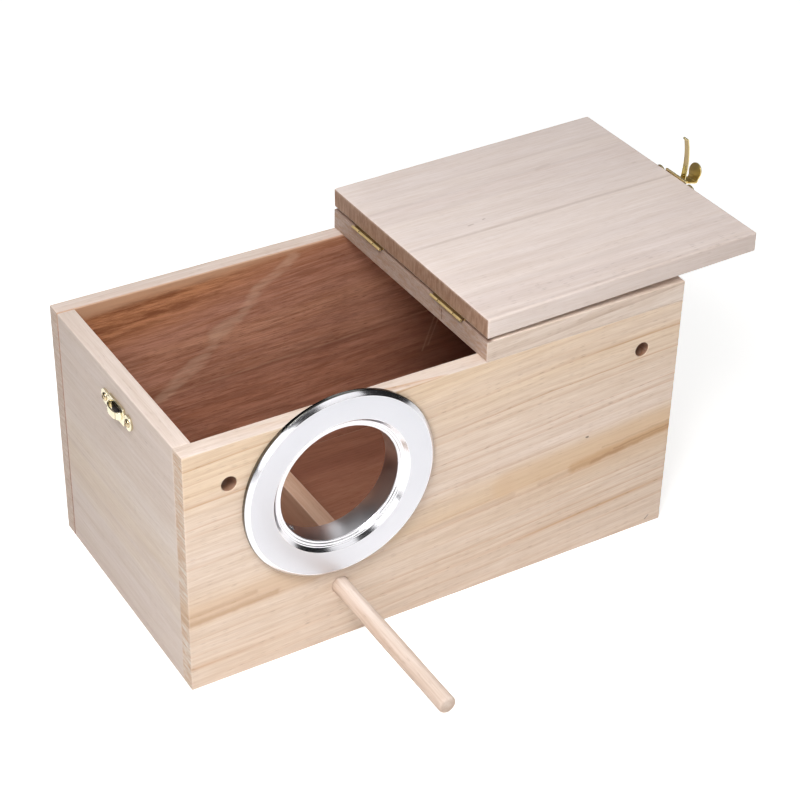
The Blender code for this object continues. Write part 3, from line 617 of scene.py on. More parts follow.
# The back board: pale outside and on its rim, red heartwood inside with a darker stain along the top,
# a smear of old glue across it and one seam. Places are across (x) and up (z), in millimetres. Each line is
# its start, its end and its width, and a tint is how much of it shows, and its tone.
backWall = {
    "inside": 70.7,
    "sapLine": 141.5,
    "sapTone": (200, 156, 124),
    "rag": 7.0,
    "ragStretch": (22, 60, 90),
    "bandFrom": (108, 128),
    "bandSlope": 0.17,
    "bandEnd": (-85, 0),
    "amber": (0.66, (204, 138, 90)),
    "stainStretch": (34, 80, 330),
    "stain": (0.85, (118, 64, 36)),
    "mottleStretch": (26, 60, 210),
    "mottle": (0.34, (108, 60, 42)),
    "darkSide": (14, 112, 0.76, (82, 43, 30)),
    "tornStretch": (60, 60, 420),
    "smear": (
        ((-94, 74.5), (-80, 84), 4.5), ((-80, 84), (-64, 94), 3.5), ((-62, 96), (-57, 104), 2.0),
        ((-57, 106), (-46, 112), 5.0), ((-44, 114), (-30, 127), 1.6), ((-30, 128), (-9, 143), 2.6),
    ),
    "smearTint": (0.4, (218, 182, 156)),
    "smearShake": 15.0,
    "seam": ((-88, 75.5), (140, 82.5), 0.5),
    "seamTint": (0.3, (224, 180, 150)),
    "seamShade": (0.25, (110, 62, 44)),
    "seamDrop": 1.6,
    "scratches": (((91, 86), (79, 53), 0.4), ((94, 84), (83, 56), 0.3)),
    "scratchTint": (0.2, (226, 190, 164)),
}


def backMaterial(name, outer, inner):
    surface, tree = newSurface(name)
    shell = growWood(tree, outer)
    heart = growWood(tree, inner)
    where = read(tree, "ShaderNodeTexCoord", "Object")
    across, deep, high = apart(where)
    wall = backWall

    def tinted(colour, share, tint):
        return mixColour(share * tint[0], colour, paint(*tint[1]))

    def lineAt(place, line, soft, drop=0.0):
        (startX, startZ), (endX, endZ), width = line
        return markLine(place, (startX, 0, startZ - drop), (endX, 0, endZ - drop), width, soft)

    # one cloud for two uses: its grey for ragged borders, its colour to shake the smear
    ragged = addNode(tree, "ShaderNodeTexNoise", {
        "Vector": where * wall["ragStretch"], "Scale": 1, "Detail": 4, "Roughness": 0.65,
    }).outputs
    rag = (Term(ragged[0]) - 0.5) * (wall["rag"] * mm)

    # the stain lies in a band that narrows towards the right, and the rest of the wall is mottled
    foot = high - (across + 120 * mm) * wall["bandSlope"] + rag
    band = soften(foot, *scaled(wall["bandFrom"]))
    stained = band * soften(across, *scaled(wall["bandEnd"]), 1.0, 0.3)
    stainCloud = soften(cloud(where * wall["stainStretch"], 1, 6, 0.75), 0.36, 0.64, 0.0, 1.0)
    red = tinted(Term(heart.outputs["Color"]), stained, wall["amber"])
    red = tinted(red, stained * stainCloud, wall["stain"])
    share, shade = wall["mottle"]
    mottled = soften(cloud(where * wall["mottleStretch"], 1, 6, 0.8), 0.42, 0.6, 0.0, share) * (1.0 - band)
    red = mixColour(mottled, red, paint(*shade))

    # the right side is in the shade of the open lid, and leans a little
    start, end, share, shade = wall["darkSide"]
    red = mixColour(soften(across - high * 0.25, start * mm, end * mm, 0.0, share), red, paint(*shade))

    # the smear and the lines are drawn on the flat of the board
    flat = where * (1, 0, 1)
    reach = wall["smearShake"] * mm
    shaken = flat + (Term(ragged["Color"]) - (0.5, 0.5, 0.5)) * (reach, 0, reach)
    torn = cloud(where * wall["tornStretch"], 1, 4, 0.65)
    smear = 0.0
    for line in wall["smear"]:
        smear = sumOf("MAXIMUM", smear, lineAt(shaken, line, 4.0))
    red = tinted(red, smear * soften(torn, 0.34, 0.6, 0.25, 1.0), wall["smearTint"])
    red = tinted(red, lineAt(flat, wall["seam"], 0.9) * soften(torn, 0.36, 0.6, 0.25, 1.0), wall["seamTint"])
    red = tinted(red, lineAt(flat, wall["seam"], 1.6, wall["seamDrop"]), wall["seamShade"])
    for line in wall["scratches"]:
        red = tinted(red, lineAt(flat, line, 0.7), wall["scratchTint"])

    # heartwood reaches through a thin layer of the board, and stops short of the rim
    edge = wall["inside"]
    inside = soften(deep + rag * 0.12, (edge - 0.5) * mm, (edge + 0.5) * mm, 1.0, 0.0)
    rise = (across + 140 * mm) * 0.045
    edge = wall["sapLine"]
    below = soften(high - rise + rag * 0.6, (edge - 4) * mm, (edge + 2) * mm, 1.0, 0.1)
    sap = mixColour(inside, Term(shell.outputs["Color"]), paint(*wall["sapTone"]))
    finishWood(tree, mixColour(inside * below, sap, red), heart, outer)
    return surface


woods = {name: woodMaterial(name, look) for name, look in boardWoods.items()}
woods["backWood"] = backMaterial("backWood", boardWoods["rimWood"], boardWoods["heartWood"])
print("wood materials made:", len(woods))


# Metals are told by their tone, roughness and how much it differs in patches. A shade box is painted shade,
# darker and rougher inside a box under the keeper's bridge and on the hinge leaves beside the barrel: its
# centre and half sizes in millimetres, and its tone.
metalLooks = {
    "brassPlate": {"tone": (222, 208, 160), "roughness": 0.2, "spread": 0.08, "scale": 420},
    "brassHinge": {
        "tone": (240, 214, 152), "roughness": 0.4, "spread": 0.06, "scale": 420, "metallic": 0.5,
        "dull": ((23.45, 0, 160.8), (0.85, 70, 3.0), (112, 84, 50)),
    },
    "hingePin": {"tone": (84, 56, 40), "roughness": 0.4, "spread": 0.06, "scale": 420},
    "brassLever": {"tone": (232, 208, 142), "roughness": 0.36, "spread": 0.04, "scale": 300},
    "brassScrew": {"tone": (196, 178, 146), "roughness": 0.2, "spread": 0.06, "scale": 400},
    "brassKeeper": {
        "tone": (230, 220, 190), "roughness": 0.22, "spread": 0.06, "scale": 420,
        "dull": ((-152.2, -6, 132.5), (2.0, 5.3, 3.1), (40, 24, 14)),
    },
    "screwSteel": {"tone": (214, 214, 217), "roughness": 0.18, "spread": 0.08, "scale": 500},
}
darkerPatch = 0.9
dullRoughness = 0.4


def metalMaterial(name, look):
    surface, tree = newSurface(name)
    shader = shaderOf(tree)
    where = read(tree, "ShaderNodeTexCoord", "Object")
    patches = cloud(where, look["scale"], 3)
    tone = mixColour(soften(patches, 0.3, 0.7, 0.0, 0.3), paint(*look["tone"]),
                     paint(*[level * darkerPatch for level in look["tone"]]))
    low = look["roughness"] - look["spread"] / 2
    rough = soften(patches, 0.2, 0.8, low, low + look["spread"])
    if "dull" in look:
        # painted shade inside the box, where the part lies in shade
        centre, halves, shade = look["dull"]
        x, y, z = apart(sumOf("ABSOLUTE", (where - scaled(centre)) / scaled(halves)))
        shadeShare = soften(sumOf("MAXIMUM", x, sumOf("MAXIMUM", y, z)), 0.9, 1.02, 1.0, 0.0)
        tone = mixColour(shadeShare, tone, paint(*shade))
        rough = rough + shadeShare * dullRoughness
    feed(shader["Base Color"], tone)
    shader["Metallic"].default_value = look.get("metallic", 1.0)
    feed(shader["Roughness"], rough)
    return surface


# The ring is polished on its slopes and in its bore, and satin on its flat land, with faint turning lines.
# "land", "side" and "bore" are radii in millimetres.
spunLook = {
    "tone": (222, 221, 225),
    "lineTone": (200, 198, 202),
    "land": (39.9, 52.8),
    "landTone": (206, 207, 213),
    "landRoughness": 0.36,
    "polished": 0.13,
    "side": 55.2,
    # the outer side is painted dark: painted shade for the thin dark line round the ring's edge
    "sideShade": (104, 103, 98),
    "bore": 34.4,
    "boreRoughness": 0.28,
    "lines": 2600,
    "handled": 60,
    "bump": 0.12,
    "bumpDepth": 0.04 * mm,
}


def spunMaterial(name, look, axis):
    surface, tree = newSurface(name)
    shader = shaderOf(tree)
    where = read(tree, "ShaderNodeTexCoord", "Object")
    radius = sumOf("LENGTH", (where - axis) * (1, 0, 1))

    def step(place, spread, before=0.0, after=1.0):
        return soften(radius, place - spread * mm, place + spread * mm, before, after)

    low, high = scaled(look["land"])
    land = step(low, 0.2) * step(high, 0.2, 1.0, 0.0)
    lines = read(tree, "ShaderNodeTexNoise", 0, {"W": radius, "Scale": look["lines"], "Detail": 2},
                 noise_dimensions="1D")
    shader["Metallic"].default_value = 1.0
    tone = mixColour(land, paint(*look["tone"]), paint(*look["landTone"]))
    # the outer side darker, as painted shade
    tone = mixColour(step(look["side"] * mm, 0.1), tone, paint(*look["sideShade"]))
    feed(shader["Base Color"], mixColour(soften(lines, 0.3, 0.7, 0.0, 0.12), tone, paint(*look["lineTone"])))
    rough = step(look["bore"] * mm, 0.15, look["boreRoughness"], look["polished"])
    rough = rough + land * (look["landRoughness"] - look["polished"])
    rough = rough + soften(cloud(where, look["handled"], 3), 0.4, 0.7, 0.0, 0.04)
    feed(shader["Roughness"], rough + soften(lines, 0.3, 0.7, 0.0, 0.05))
    addBump(shader, lines, look["bump"], look["bumpDepth"])
    return surface


metals = {name: metalMaterial(name, look) for name, look in metalLooks.items()}
print("metal materials made:", len(metals))


# Shapes. Each ends as one plain mesh whose object stays at the origin.
def newPiece(name, mesh, surface):
    mesh.materials.clear()
    mesh.materials.append(surface)
    return addObject(name, mesh)


def onto(piece, body, nodes):
    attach(piece, body)
    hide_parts(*nodes)


def meshFrom(name, bm):
    mesh = bpy.data.meshes.new(name)
    bm.to_mesh(mesh)
    bm.free()
    return mesh


def settle(piece):
    # applies what modifiers are on the piece
    graph = bpy.context.evaluated_depsgraph_get()
    mesh = bpy.data.meshes.new_from_object(piece.evaluated_get(graph))
    piece.modifiers.clear()
    piece.data = mesh


def smoothBelow(mesh, degrees):
    for polygon in mesh.polygons:
        polygon.use_smooth = True
    mesh.set_sharp_from_angle(angle=math.radians(degrees))


def cutHoles(piece, cutters):
    for cutter in cutters:
        tool = piece.modifiers.new(cutter.name, "BOOLEAN")
        tool.operation = "DIFFERENCE"
        tool.solver = "EXACT"
        tool.object = cutter
    settle(piece)
    for cutter in cutters:
        bpy.data.objects.remove(cutter)


# A sawn board: rounded edges, faces cut into cells, and edges that a plane has left not quite straight.
# Without a seed the noise of those edges would start from the clock, and differ at each run.
sawnBoard = {
    "rounding": 0.4 * mm,
    "steps": 4,
    "cell": 12 * mm,
    "rim": 0.25 * mm,
    "waver": 0.12 * mm,
    "waverSeed": 7,
    "longWave": 90,
    "shortWave": 400,
    "shortShare": 0.35,
    "smoothBelow": 35,
}
noise.seed_set(sawnBoard["waverSeed"])


def cutIntoCells(bm, low, size, rim, cell):
    for axis in range(3):
        span = size[axis] - 2 * rim
        if span <= 0:
            continue
        parts = max(1, round(span / cell))
        way = Vector((0, 0, 0))
        way[axis] = 1
        for index in range(parts + 1):
            place = way * (low[axis] + rim + span * index / parts)
            everything = bm.verts[:] + bm.edges[:] + bm.faces[:]
            bmesh.ops.bisect_plane(bm, geom=everything, plane_co=place, plane_no=way)


def boardMesh(name, low, high, rounding, steps, waver, cell):
    low, high = Vector(low), Vector(high)
    bm = bmesh.new()
    bmesh.ops.create_cube(bm, size=1)
    size = high - low
    for vert in bm.verts:
        vert.co = Vector([(low[i] + high[i]) / 2 + vert.co[i] * size[i] for i in range(3)])
    bmesh.ops.bevel(bm, geom=bm.edges[:], offset=rounding, segments=steps, profile=0.5, affect="EDGES",
                    clamp_overlap=True)
    cutIntoCells(bm, low, size, rounding + sawnBoard["rim"], cell)
    middle = (low + high) / 2
    for vert in bm.verts:
        near = [i for i in range(3) if min(vert.co[i] - low[i], high[i] - vert.co[i]) < rounding]
        if len(near) >= 2:
            drift = noise.noise_vector(vert.co * sawnBoard["longWave"]) * waver
            drift += noise.noise_vector(vert.co * sawnBoard["shortWave"]) * waver * sawnBoard["shortShare"]
            for i in near:
                inward = -1 if vert.co[i] > middle[i] else 1
                vert.co[i] += inward * abs(drift[i])
    return meshFrom(name, bm)


# What makes a face end grain or a sawn top is how it looks; an edge and a hole are told by their depth.
faceMarks = {
    "endFacing": 0.75,
    "topFacing": 0.3,
    "edgeRoundings": 1.2,
    "edgeReach": 0.2 * mm,
    "holeDepth": 0.45 * mm,
}


def markFaces(mesh, low, high, grain, rounding):
    # end grain, edges (worn, and pale as a painted highlight), sawn tops and drilled holes, told to the wood
    # by numbers at each face's corners
    kinds = ("endGrain", "edge", "sawnTop", "bored")
    for kind in kinds:
        mesh.attributes.new(kind, "FLOAT", "CORNER")
    masks = [mesh.attributes[kind].data for kind in kinds]
    reach = rounding * faceMarks["edgeRoundings"] + faceMarks["edgeReach"]
    for polygon in mesh.polygons:
        normal, middle = polygon.normal, polygon.center
        depths = [min(middle[i] - low[i], high[i] - middle[i]) for i in range(3)]
        answers = (
            abs(normal[grain]) > faceMarks["endFacing"],
            sum(depth < reach for depth in depths) >= 2,
            normal.z > faceMarks["topFacing"] and middle.z > high[2] - reach,
            min(depths) > faceMarks["holeDepth"],
        )
        for corner in polygon.loop_indices:
            for mask, answer in zip(masks, answers):
                mask[corner].value = 1.0 if answer else 0.0


# Geometry nodes that turn a drawn outline round an axis, as on a lathe.
axisOffset = 1 * mm


def endTree(tree, shape, surface, result):
    plain = read(tree, "GeometryNodeRealizeInstances", 0, {0: shape})
    feed(result[0], read(tree, "GeometryNodeSetMaterial", 0, {"Geometry": plain, "Material": surface}))


def buildTurnedTree():
    tree, given, result = newGroup("turnedPiece", "GeometryNodeTree", {
        "Outline": ("Geometry", None),
        "Steps Around": ("Int", 64),
        "Corner Radius": ("Float", 0.3 * mm),
        "Corner Steps": ("Int", 3),
        "Finish": ("Material", None),
    }, {"Geometry": ("Geometry", None)})
    line = read(tree, "GeometryNodeMeshToCurve", 0, {0: given["Outline"]})
    outline = read(tree, "GeometryNodeFilletCurve", 0, {
        "Curve": line,
        "Radius": given["Corner Radius"],
        "Count": given["Corner Steps"],
        "Limit Radius": True,
    }, mode="POLY")
    circle = read(tree, "GeometryNodeCurvePrimitiveCircle", "Curve", {
        "Radius": axisOffset, "Resolution": given["Steps Around"],
    })
    sweep = read(tree, "GeometryNodeCurveToMesh", 0, {"Curve": circle, "Profile Curve": outline})
    merged = read(tree, "GeometryNodeMergeByDistance", 0, {"Geometry": sweep, "Distance": 0.01 * mm})
    endTree(tree, merged, given["Finish"], result)
    return tree


turnedTree = buildTurnedTree()


def addTree(piece, name, tree, values):
    modifier = piece.modifiers.new(name, "NODES")
    modifier.node_group = tree
    for item in tree.interface.items_tree:
        if item.item_type == "SOCKET" and item.in_out == "INPUT" and item.name in values:
            modifier[item.identifier] = values[item.name]


def turnedPiece(name, outline, place, surface, around, corner, cornerSteps=3, closed=False, smooth=30):
    points = [(radius - axisOffset, -height, 0) for radius, height in outline]
    edges = [(index, index + 1) for index in range(len(points) - 1)]
    if closed:
        edges.append((len(points) - 1, 0))
    mesh = bpy.data.meshes.new(name)
    mesh.from_pydata(points, edges, [])
    piece = newPiece(name, mesh, surface)
    addTree(piece, "lathe", turnedTree, {
        "Steps Around": around, "Corner Radius": corner, "Corner Steps": cornerSteps, "Finish": surface,
    })
    settle(piece)
    piece.data.transform(place)
    bm = bmesh.new()
    bm.from_mesh(piece.data)
    bmesh.ops.recalc_face_normals(bm, faces=bm.faces[:])
    bm.to_mesh(piece.data)
    bm.free()
    smoothBelow(piece.data, smooth)
    return piece


outOfFront = Matrix.Rotation(math.radians(90), 4, "X")      # a turned piece's axis, now along -Y
alongY = Matrix.Rotation(math.radians(-90), 4, "X")

box = {
    "halfLength": 150 * mm,
    "halfDepth": 80 * mm,
    "rim": 148 * mm,
    "top": 160 * mm,
    "wall": 10 * mm,
    "floor": 10 * mm,
    "joint": 0.05 * mm,
    "dividerFrom": -47.5 * mm,
    "dividerTo": -37.5 * mm,
    "dividerTop": 35.8 * mm,
    "roofFrom": 23.6 * mm,
}
# Each hole in the front is its place across and up, its radius and its countersink, in millimetres.
frontHoles = {
    "leftHanger": (-125, 124, 4.25, 0.35),
    "rightHanger": (125, 124, 4.25, 0.35),
    "entranceBore": (-63.2, 102.6, 35.5, 0.3),
    "perchBore": (-62.2, 35.6, 5.0, 0.2),
}
entranceX, entranceZ = scaled(frontHoles["entranceBore"][:2])
perchX, perchZ = scaled(frontHoles["perchBore"][:2])


def borer(name, x, z, radius, mouth, low, high):
    # a drill with a countersink at each face of the board
    over = 2 * mm
    outline = [
        (0, low - over), (radius + mouth + over, low - over), (radius, low + mouth),
        (radius, high - mouth), (radius + mouth + over, high + over), (0, high + over),
    ]
    place = Matrix.Translation((x, 0, z)) @ outOfFront
    return turnedPiece(name, outline, place, woods["frontWood"], around=48, corner=0)


def board(name, node, low, high, wood, grain="X", cutters=()):
    look = sawnBoard
    mesh = boardMesh(name, low, high, look["rounding"], look["steps"], look["waver"], look["cell"])
    piece = newPiece(name, mesh, woods[wood])
    if cutters:
        cutHoles(piece, cutters)
    markFaces(piece.data, low, high, "XYZ".index(grain), look["rounding"])
    smoothBelow(piece.data, look["smoothBelow"])
    onto(piece, "carcass", [node])


def makeBox():
    length, depth, wall = box["halfLength"], box["halfDepth"], box["wall"]
    rim, joint = box["rim"], box["joint"]
    inner = depth - wall
    side = inner - joint
    end = length - wall - joint
    holes = [borer(name, *scaled(hole), inner, depth) for name, hole in frontHoles.items()]
    board("frontBoard", "front_panel", (-length, -depth, 0), (length, -inner, rim), "frontWood",
          cutters=holes)
    board("backBoard", "back_panel", (-length, inner, 0), (length, depth, rim), "backWood")
    board("leftBoard", "left_panel", (-length, -side, 0), (-length + wall, side, rim), "leftWood", "Y")
    board("rightBoard", "right_panel", (length - wall, -side, 0), (length, side, rim), "leftWood", "Y")
    board("floorBoard", "floor_panel", (-end, -side, 0), (end, side, box["floor"]), "floorWood")
    board("dividerBoard", "nest_divider", (box["dividerFrom"], -side, box["floor"] + joint),
          (box["dividerTo"], side, box["dividerTop"]), "dividerWood", "Y")
    board("roofBoard", "fixed_roof", (box["roofFrom"], -depth, rim + joint), (length, depth, box["top"]),
          "roofWood")


def turnedAbout(start, centre, turn):
    return start @ Matrix.Translation(centre) @ turn @ Matrix.Translation(-Vector(centre))


# The lid is drawn closed and stands open, as in the photograph.
hinge = {"axis": (22.1 * mm, 0, 160.8 * mm), "openDegrees": 178.75}
openTurn = Matrix.Rotation(math.radians(hinge["openDegrees"]), 4, "Y")
lidTurn = turnedAbout(Matrix.Identity(4), hinge["axis"], openTurn)
lidBoard = {
    "low": (-152.8 * mm, -80 * mm, 148.3 * mm),
    "high": (20.6 * mm, 80 * mm, 160 * mm),
    "rounding": 1.0 * mm,
    "steps": 5,
}


def makeLid():
    low, high, rounding, look = lidBoard["low"], lidBoard["high"], lidBoard["rounding"], sawnBoard
    mesh = boardMesh("lidBoard", low, high, rounding, lidBoard["steps"], look["waver"], look["cell"])
    markFaces(mesh, low, high, 0, rounding)
    mesh.transform(lidTurn)
    smoothBelow(mesh, look["smoothBelow"])
    onto(newPiece("lidBoard", mesh, woods["lidWood"]), "lid", ["lid"])


makeBox()
makeLid()
print("boards made")


ringTurning = {
    # radius and height out of the front in millimetres, round one closed section
    "section": (
        (34.2, -12.0), (34.2, 1.0), (34.5, 1.45), (35.6, 1.5), (35.8, 1.95), (37.0, 2.1), (37.2, 2.4),
        (37.8, 2.5), (39.7, 4.3), (53.1, 4.3), (55.4, 2.4), (55.4, 0.3), (54.5, 0.3), (54.5, 1.6),
        (52.8, 3.3), (40.1, 3.3), (36.5, 1.0), (35.1, 0.4), (35.1, -12.0),
    ),
    "around": 192,
    "corner": 0.25 * mm,
    "cornerSteps": 3,
    "smoothBelow": 22,
}


def makeRing():
    metals["spunAluminium"] = spunMaterial("spunAluminium", spunLook, (entranceX, 0, entranceZ))
    place = Matrix.Translation((entranceX, -box["halfDepth"], entranceZ)) @ outOfFront
    ring = turnedPiece("entranceRing", [scaled(point) for point in ringTurning["section"]], place,
                       metals["spunAluminium"], ringTurning["around"], ringTurning["corner"],
                       ringTurning["cornerSteps"], closed=True, smooth=ringTurning["smoothBelow"])
    onto(ring, "carcass", ["entrance_ring"])


# The dowel's radius swells and shrinks a little along it, as a hand-sanded one does.
perchTurning = {
    "radius": 4.9 * mm,
    "reach": 107.5 * mm,
    "inner": -10 * mm,
    "tip": 2 * mm,
    "tipRounding": 1.5 * mm,
    "around": 40,
    "cornerSteps": 5,
    "waists": 24,
    "waistDepth": 0.012,
    "waistTurn": 9,
}


def makePerch():
    radius, reach, inner, steps = [perchTurning[key] for key in ("radius", "reach", "inner", "waists")]
    outline = [(0, inner), (radius, inner)]
    for index in range(steps + 1):
        share = index / steps
        waist = 1 - perchTurning["waistDepth"] * math.sin(share * perchTurning["waistTurn"])
        outline.append((radius * waist, share * (reach - perchTurning["tip"])))
    outline += [(radius, reach), (0, reach)]
    place = Matrix.Translation((perchX, -box["halfDepth"], perchZ)) @ outOfFront
    perch = turnedPiece("perchRod", outline, place, woods["perchWood"], perchTurning["around"],
                        perchTurning["tipRounding"], perchTurning["cornerSteps"])
    onto(perch, "carcass", ["perch"])


makeRing()
makePerch()
print("ring and perch turned")


# Sheet metal: flat plates, bent strips and turned tubes, joined into one mesh for each piece.
metalSmooth = 35
levelWithin = 1e-7
mergeWithin = 1e-6


def joinLoops(bm, first, second):
    for index in range(len(first)):
        after = (index + 1) % len(first)
        bm.faces.new((first[index], first[after], second[after], second[index]))


def plateMesh(name, outline, thickness, rounding):
    # the outline lies across (x) and up (y), and the sheet rises from z 0
    bm = bmesh.new()
    lower, upper = [[bm.verts.new((x, y, z)) for x, y in outline] for z in (0, thickness)]
    bm.faces.new(lower[::-1])
    bm.faces.new(upper)
    joinLoops(bm, lower, upper)
    bmesh.ops.recalc_face_normals(bm, faces=bm.faces[:])
    rims = [edge for edge in bm.edges if abs(edge.verts[0].co.z - edge.verts[1].co.z) < levelWithin]
    bmesh.ops.bevel(bm, geom=rims, offset=rounding, segments=3, profile=0.5, affect="EDGES",
                    clamp_overlap=True)
    bmesh.ops.remove_doubles(bm, verts=bm.verts[:], dist=mergeWithin)
    return meshFrom(name, bm)


def roundedLine(points, reach, steps):
    # each inner corner becomes a small curve
    line = [Vector(points[0])]
    for before, corner, after in zip(points, points[1:], points[2:]):
        before, corner, after = Vector(before), Vector(corner), Vector(after)
        first, last = [
            corner + (end - corner).normalized() * min(reach, (end - corner).length * 0.48)
            for end in (before, after)
        ]
        for index in range(steps + 1):
            share = index / steps
            line.append(first.lerp(corner, share).lerp(corner.lerp(last, share), share))
    line.append(Vector(points[-1]))
    return line


def arc(centre, radius, first, last, steps):
    points = []
    for index in range(steps + 1):
        angle = math.radians(first + (last - first) * index / steps)
        points.append((centre[0] + radius * math.cos(angle), centre[1] + radius * math.sin(angle)))
    return points


def stripMesh(name, line, thickness, widths, rounding, tip=0.0):
    # the line is drawn in x and z, and the strip is wide along y; over the length "tip" its end is rounded
    line = [Vector(point) for point in line]
    last = len(line) - 1
    bm = bmesh.new()
    loops = []
    for index, point in enumerate(line):
        way = (line[min(index + 1, last)] - line[max(index - 1, 0)]).normalized()
        side = Vector((-way.y, way.x))
        width = widths[0] + (widths[1] - widths[0]) * (index / last)
        left = sum((line[i + 1] - line[i]).length for i in range(index, last))
        if left < tip:
            width = max(2.1 * rounding, width * math.sqrt(1 - (1 - left / tip) ** 2))
        loop = []
        for quarter, (outward, across) in enumerate(((1, 1), (-1, 1), (-1, -1), (1, -1))):
            for step in range(4):
                angle = math.radians(90 * quarter + 30 * step)
                out = outward * (thickness / 2 - rounding) + rounding * math.cos(angle)
                along = across * (width / 2 - rounding) + rounding * math.sin(angle)
                loop.append(bm.verts.new((point.x + side.x * out, along, point.y + side.y * out)))
        loops.append(loop)
    for first, second in zip(loops, loops[1:]):
        joinLoops(bm, first, second)
    bm.faces.new(loops[0][::-1])
    bm.faces.new(loops[-1])
    bmesh.ops.recalc_face_normals(bm, faces=bm.faces[:])
    return meshFrom(name, bm)


def joined(name, meshes, surface, place=Matrix.Identity(4)):
    bm = bmesh.new()
    for mesh in meshes:
        bm.from_mesh(mesh)
    bm.transform(place)
    if place.determinant() < 0:
        bmesh.ops.reverse_faces(bm, faces=bm.faces[:])
    mesh = meshFrom(name, bm)
    smoothBelow(mesh, metalSmooth)
    return newPiece(name, mesh, metals[surface])


def moved(mesh, place):
    mesh.transform(place)
    if place.determinant() < 0:
        mesh.flip_normals()
    return mesh


def laid(*ways):
    # a turn that lays the axes x, y and z along the ways named
    turn = Matrix.Diagonal((0, 0, 0, 1))
    for column, way in enumerate(ways):
        turn["xyz".index(way[-1])][column] = -1 if way[0] == "-" else 1
    return turn


def tubeMesh(name, inner, outer, start, end, rounding):
    # a short tube along Y
    outline = [(inner, start), (outer, start), (outer, end), (inner, end)]
    tube = turnedPiece(name, outline, alongY, metals["brassPlate"], 28, rounding, closed=True)
    mesh = tube.data
    bpy.data.objects.remove(tube)
    return mesh


def pinPiece(name, radius, half, rounding, place, surface):
    outline = [(0, -half), (radius, -half), (radius, half), (0, half)]
    return turnedPiece(name, outline, place, metals[surface], 20, rounding)


# Screws and rivets: one head is turned and slotted for each kind, and geometry nodes set it on its points.
# Sizes are in millimetres. A "dome" of 1 is a half ellipse, and a smaller one is nearer to a cone. "slot" and
# "deep" are the width and the depth of the cross in the head.
fastenerKinds = {
    "hingeScrew": {
        "head": 1.9, "height": 0.34, "dome": 0.6, "shank": 1.0, "length": 8.0, "slot": 0.5, "deep": 0.55,
    },
    "plateScrew": {
        "head": 2.4, "height": 1.3, "dome": 1.0, "shank": 1.1, "length": 8.0, "slot": 0.62, "deep": 0.8,
    },
    "ringScrew": {
        "head": 1.9, "height": 0.8, "dome": 0.9, "shank": 0.9, "length": 6.5, "slot": 0.5, "deep": 0.5,
    },
    "rivet": {
        "head": 1.1, "height": 0.4, "dome": 0.9, "shank": 0.55, "length": 1.4, "slot": 0.0, "deep": 0.0,
    },
}
fastenerShape = {
    "around": 28,
    "smoothBelow": 28,
    "neck": 0.94,
    "rim": 0.12,
    "slotReach": 0.62,
    "slotOver": 1 * mm,
    "slotRounding": 0.06 * mm,
}


def fastenerHead(kind, surface):
    sizes, shape = fastenerKinds[kind], fastenerShape
    head, height, shank, length, slot, deep = [
        sizes[key] * mm for key in ("head", "height", "shank", "length", "slot", "deep")
    ]
    rim = shape["rim"]
    outline = [(0, -length), (shank * 0.5, -length + shank), (shank, -length + 2 * shank), (shank, 0)]
    outline += [(head * shape["neck"], 0), (head, height * rim)]
    for degrees in range(15, 90, 15):
        turn = math.radians(degrees)
        rise = math.sin(turn) ** (1 / sizes["dome"])
        outline.append((head * math.cos(turn), height * (rim + (1 - rim) * rise)))
    outline.append((0, height))
    place = Matrix.Identity(4)
    piece = turnedPiece(kind, outline, place, surface, shape["around"], 0, smooth=shape["smoothBelow"])
    if slot:
        reach = head * shape["slotReach"]
        tools = []
        for degrees in (0, 90):
            low, high = (-reach, -slot / 2, height - deep), (reach, slot / 2, height + shape["slotOver"])
            mesh = boardMesh(kind + "Slot", low, high, shape["slotRounding"], steps=1, waver=0, cell=1)
            mesh.transform(Matrix.Rotation(math.radians(degrees), 4, "Z"))
            tools.append(addObject(kind + "Slot" + str(degrees), mesh))
        cutHoles(piece, tools)
    return piece


def buildFastenerTree():
    tree, given, result = newGroup("setFasteners", "GeometryNodeTree", {
        "Points": ("Geometry", None),
        "Fastener": ("Object", None),
        "Most Turn": ("Float", 3.1),
        "Turn Seed": ("Int", 4),
        "Finish": ("Material", None),
    }, {"Geometry": ("Geometry", None)})
    shape = read(tree, "GeometryNodeObjectInfo", "Geometry", {"Object": given["Fastener"]})
    facing = read(tree, "GeometryNodeInputNamedAttribute", "Attribute", {"Name": "facing"},
                  data_type="FLOAT_VECTOR")
    aimed = read(tree, "FunctionNodeEulerToRotation", 0, {0: facing})
    chance = read(tree, "FunctionNodeRandomValue", 1, {3: given["Most Turn"], "Seed": given["Turn Seed"]},
                  data_type="FLOAT")
    spin = read(tree, "FunctionNodeAxisAngleToRotation", 0, {"Axis": (0, 0, 1), "Angle": chance})
    turned = read(tree, "FunctionNodeRotateRotation", 0, {0: aimed, 1: spin}, rotation_space="LOCAL")
    placed = read(tree, "GeometryNodeInstanceOnPoints", 0, {
        "Points": given["Points"], "Instance": shape, "Rotation": turned,
    })
    endTree(tree, placed, given["Finish"], result)
    return tree


fastenerTree = buildFastenerTree()


def setFasteners(name, kind, places, seed, body, nodes, finish="brassScrew"):
    # each place is a point and the way that the head looks
    surface = metals[finish]
    head = fastenerHead(kind, surface)
    mesh = bpy.data.meshes.new(name)
    mesh.from_pydata([point for point, way in places], [], [])
    facing = mesh.attributes.new("facing", "FLOAT_VECTOR", "POINT")
    for index, (point, way) in enumerate(places):
        facing.data[index].vector = Vector(way).to_track_quat("Z", "Y").to_euler()
    piece = newPiece(name, mesh, surface)
    addTree(piece, "fasteners", fastenerTree, {"Fastener": head, "Turn Seed": seed, "Finish": surface})
    settle(piece)
    bpy.data.objects.remove(head)
    smoothBelow(piece.data, fastenerShape["smoothBelow"])
    onto(piece, body, nodes)


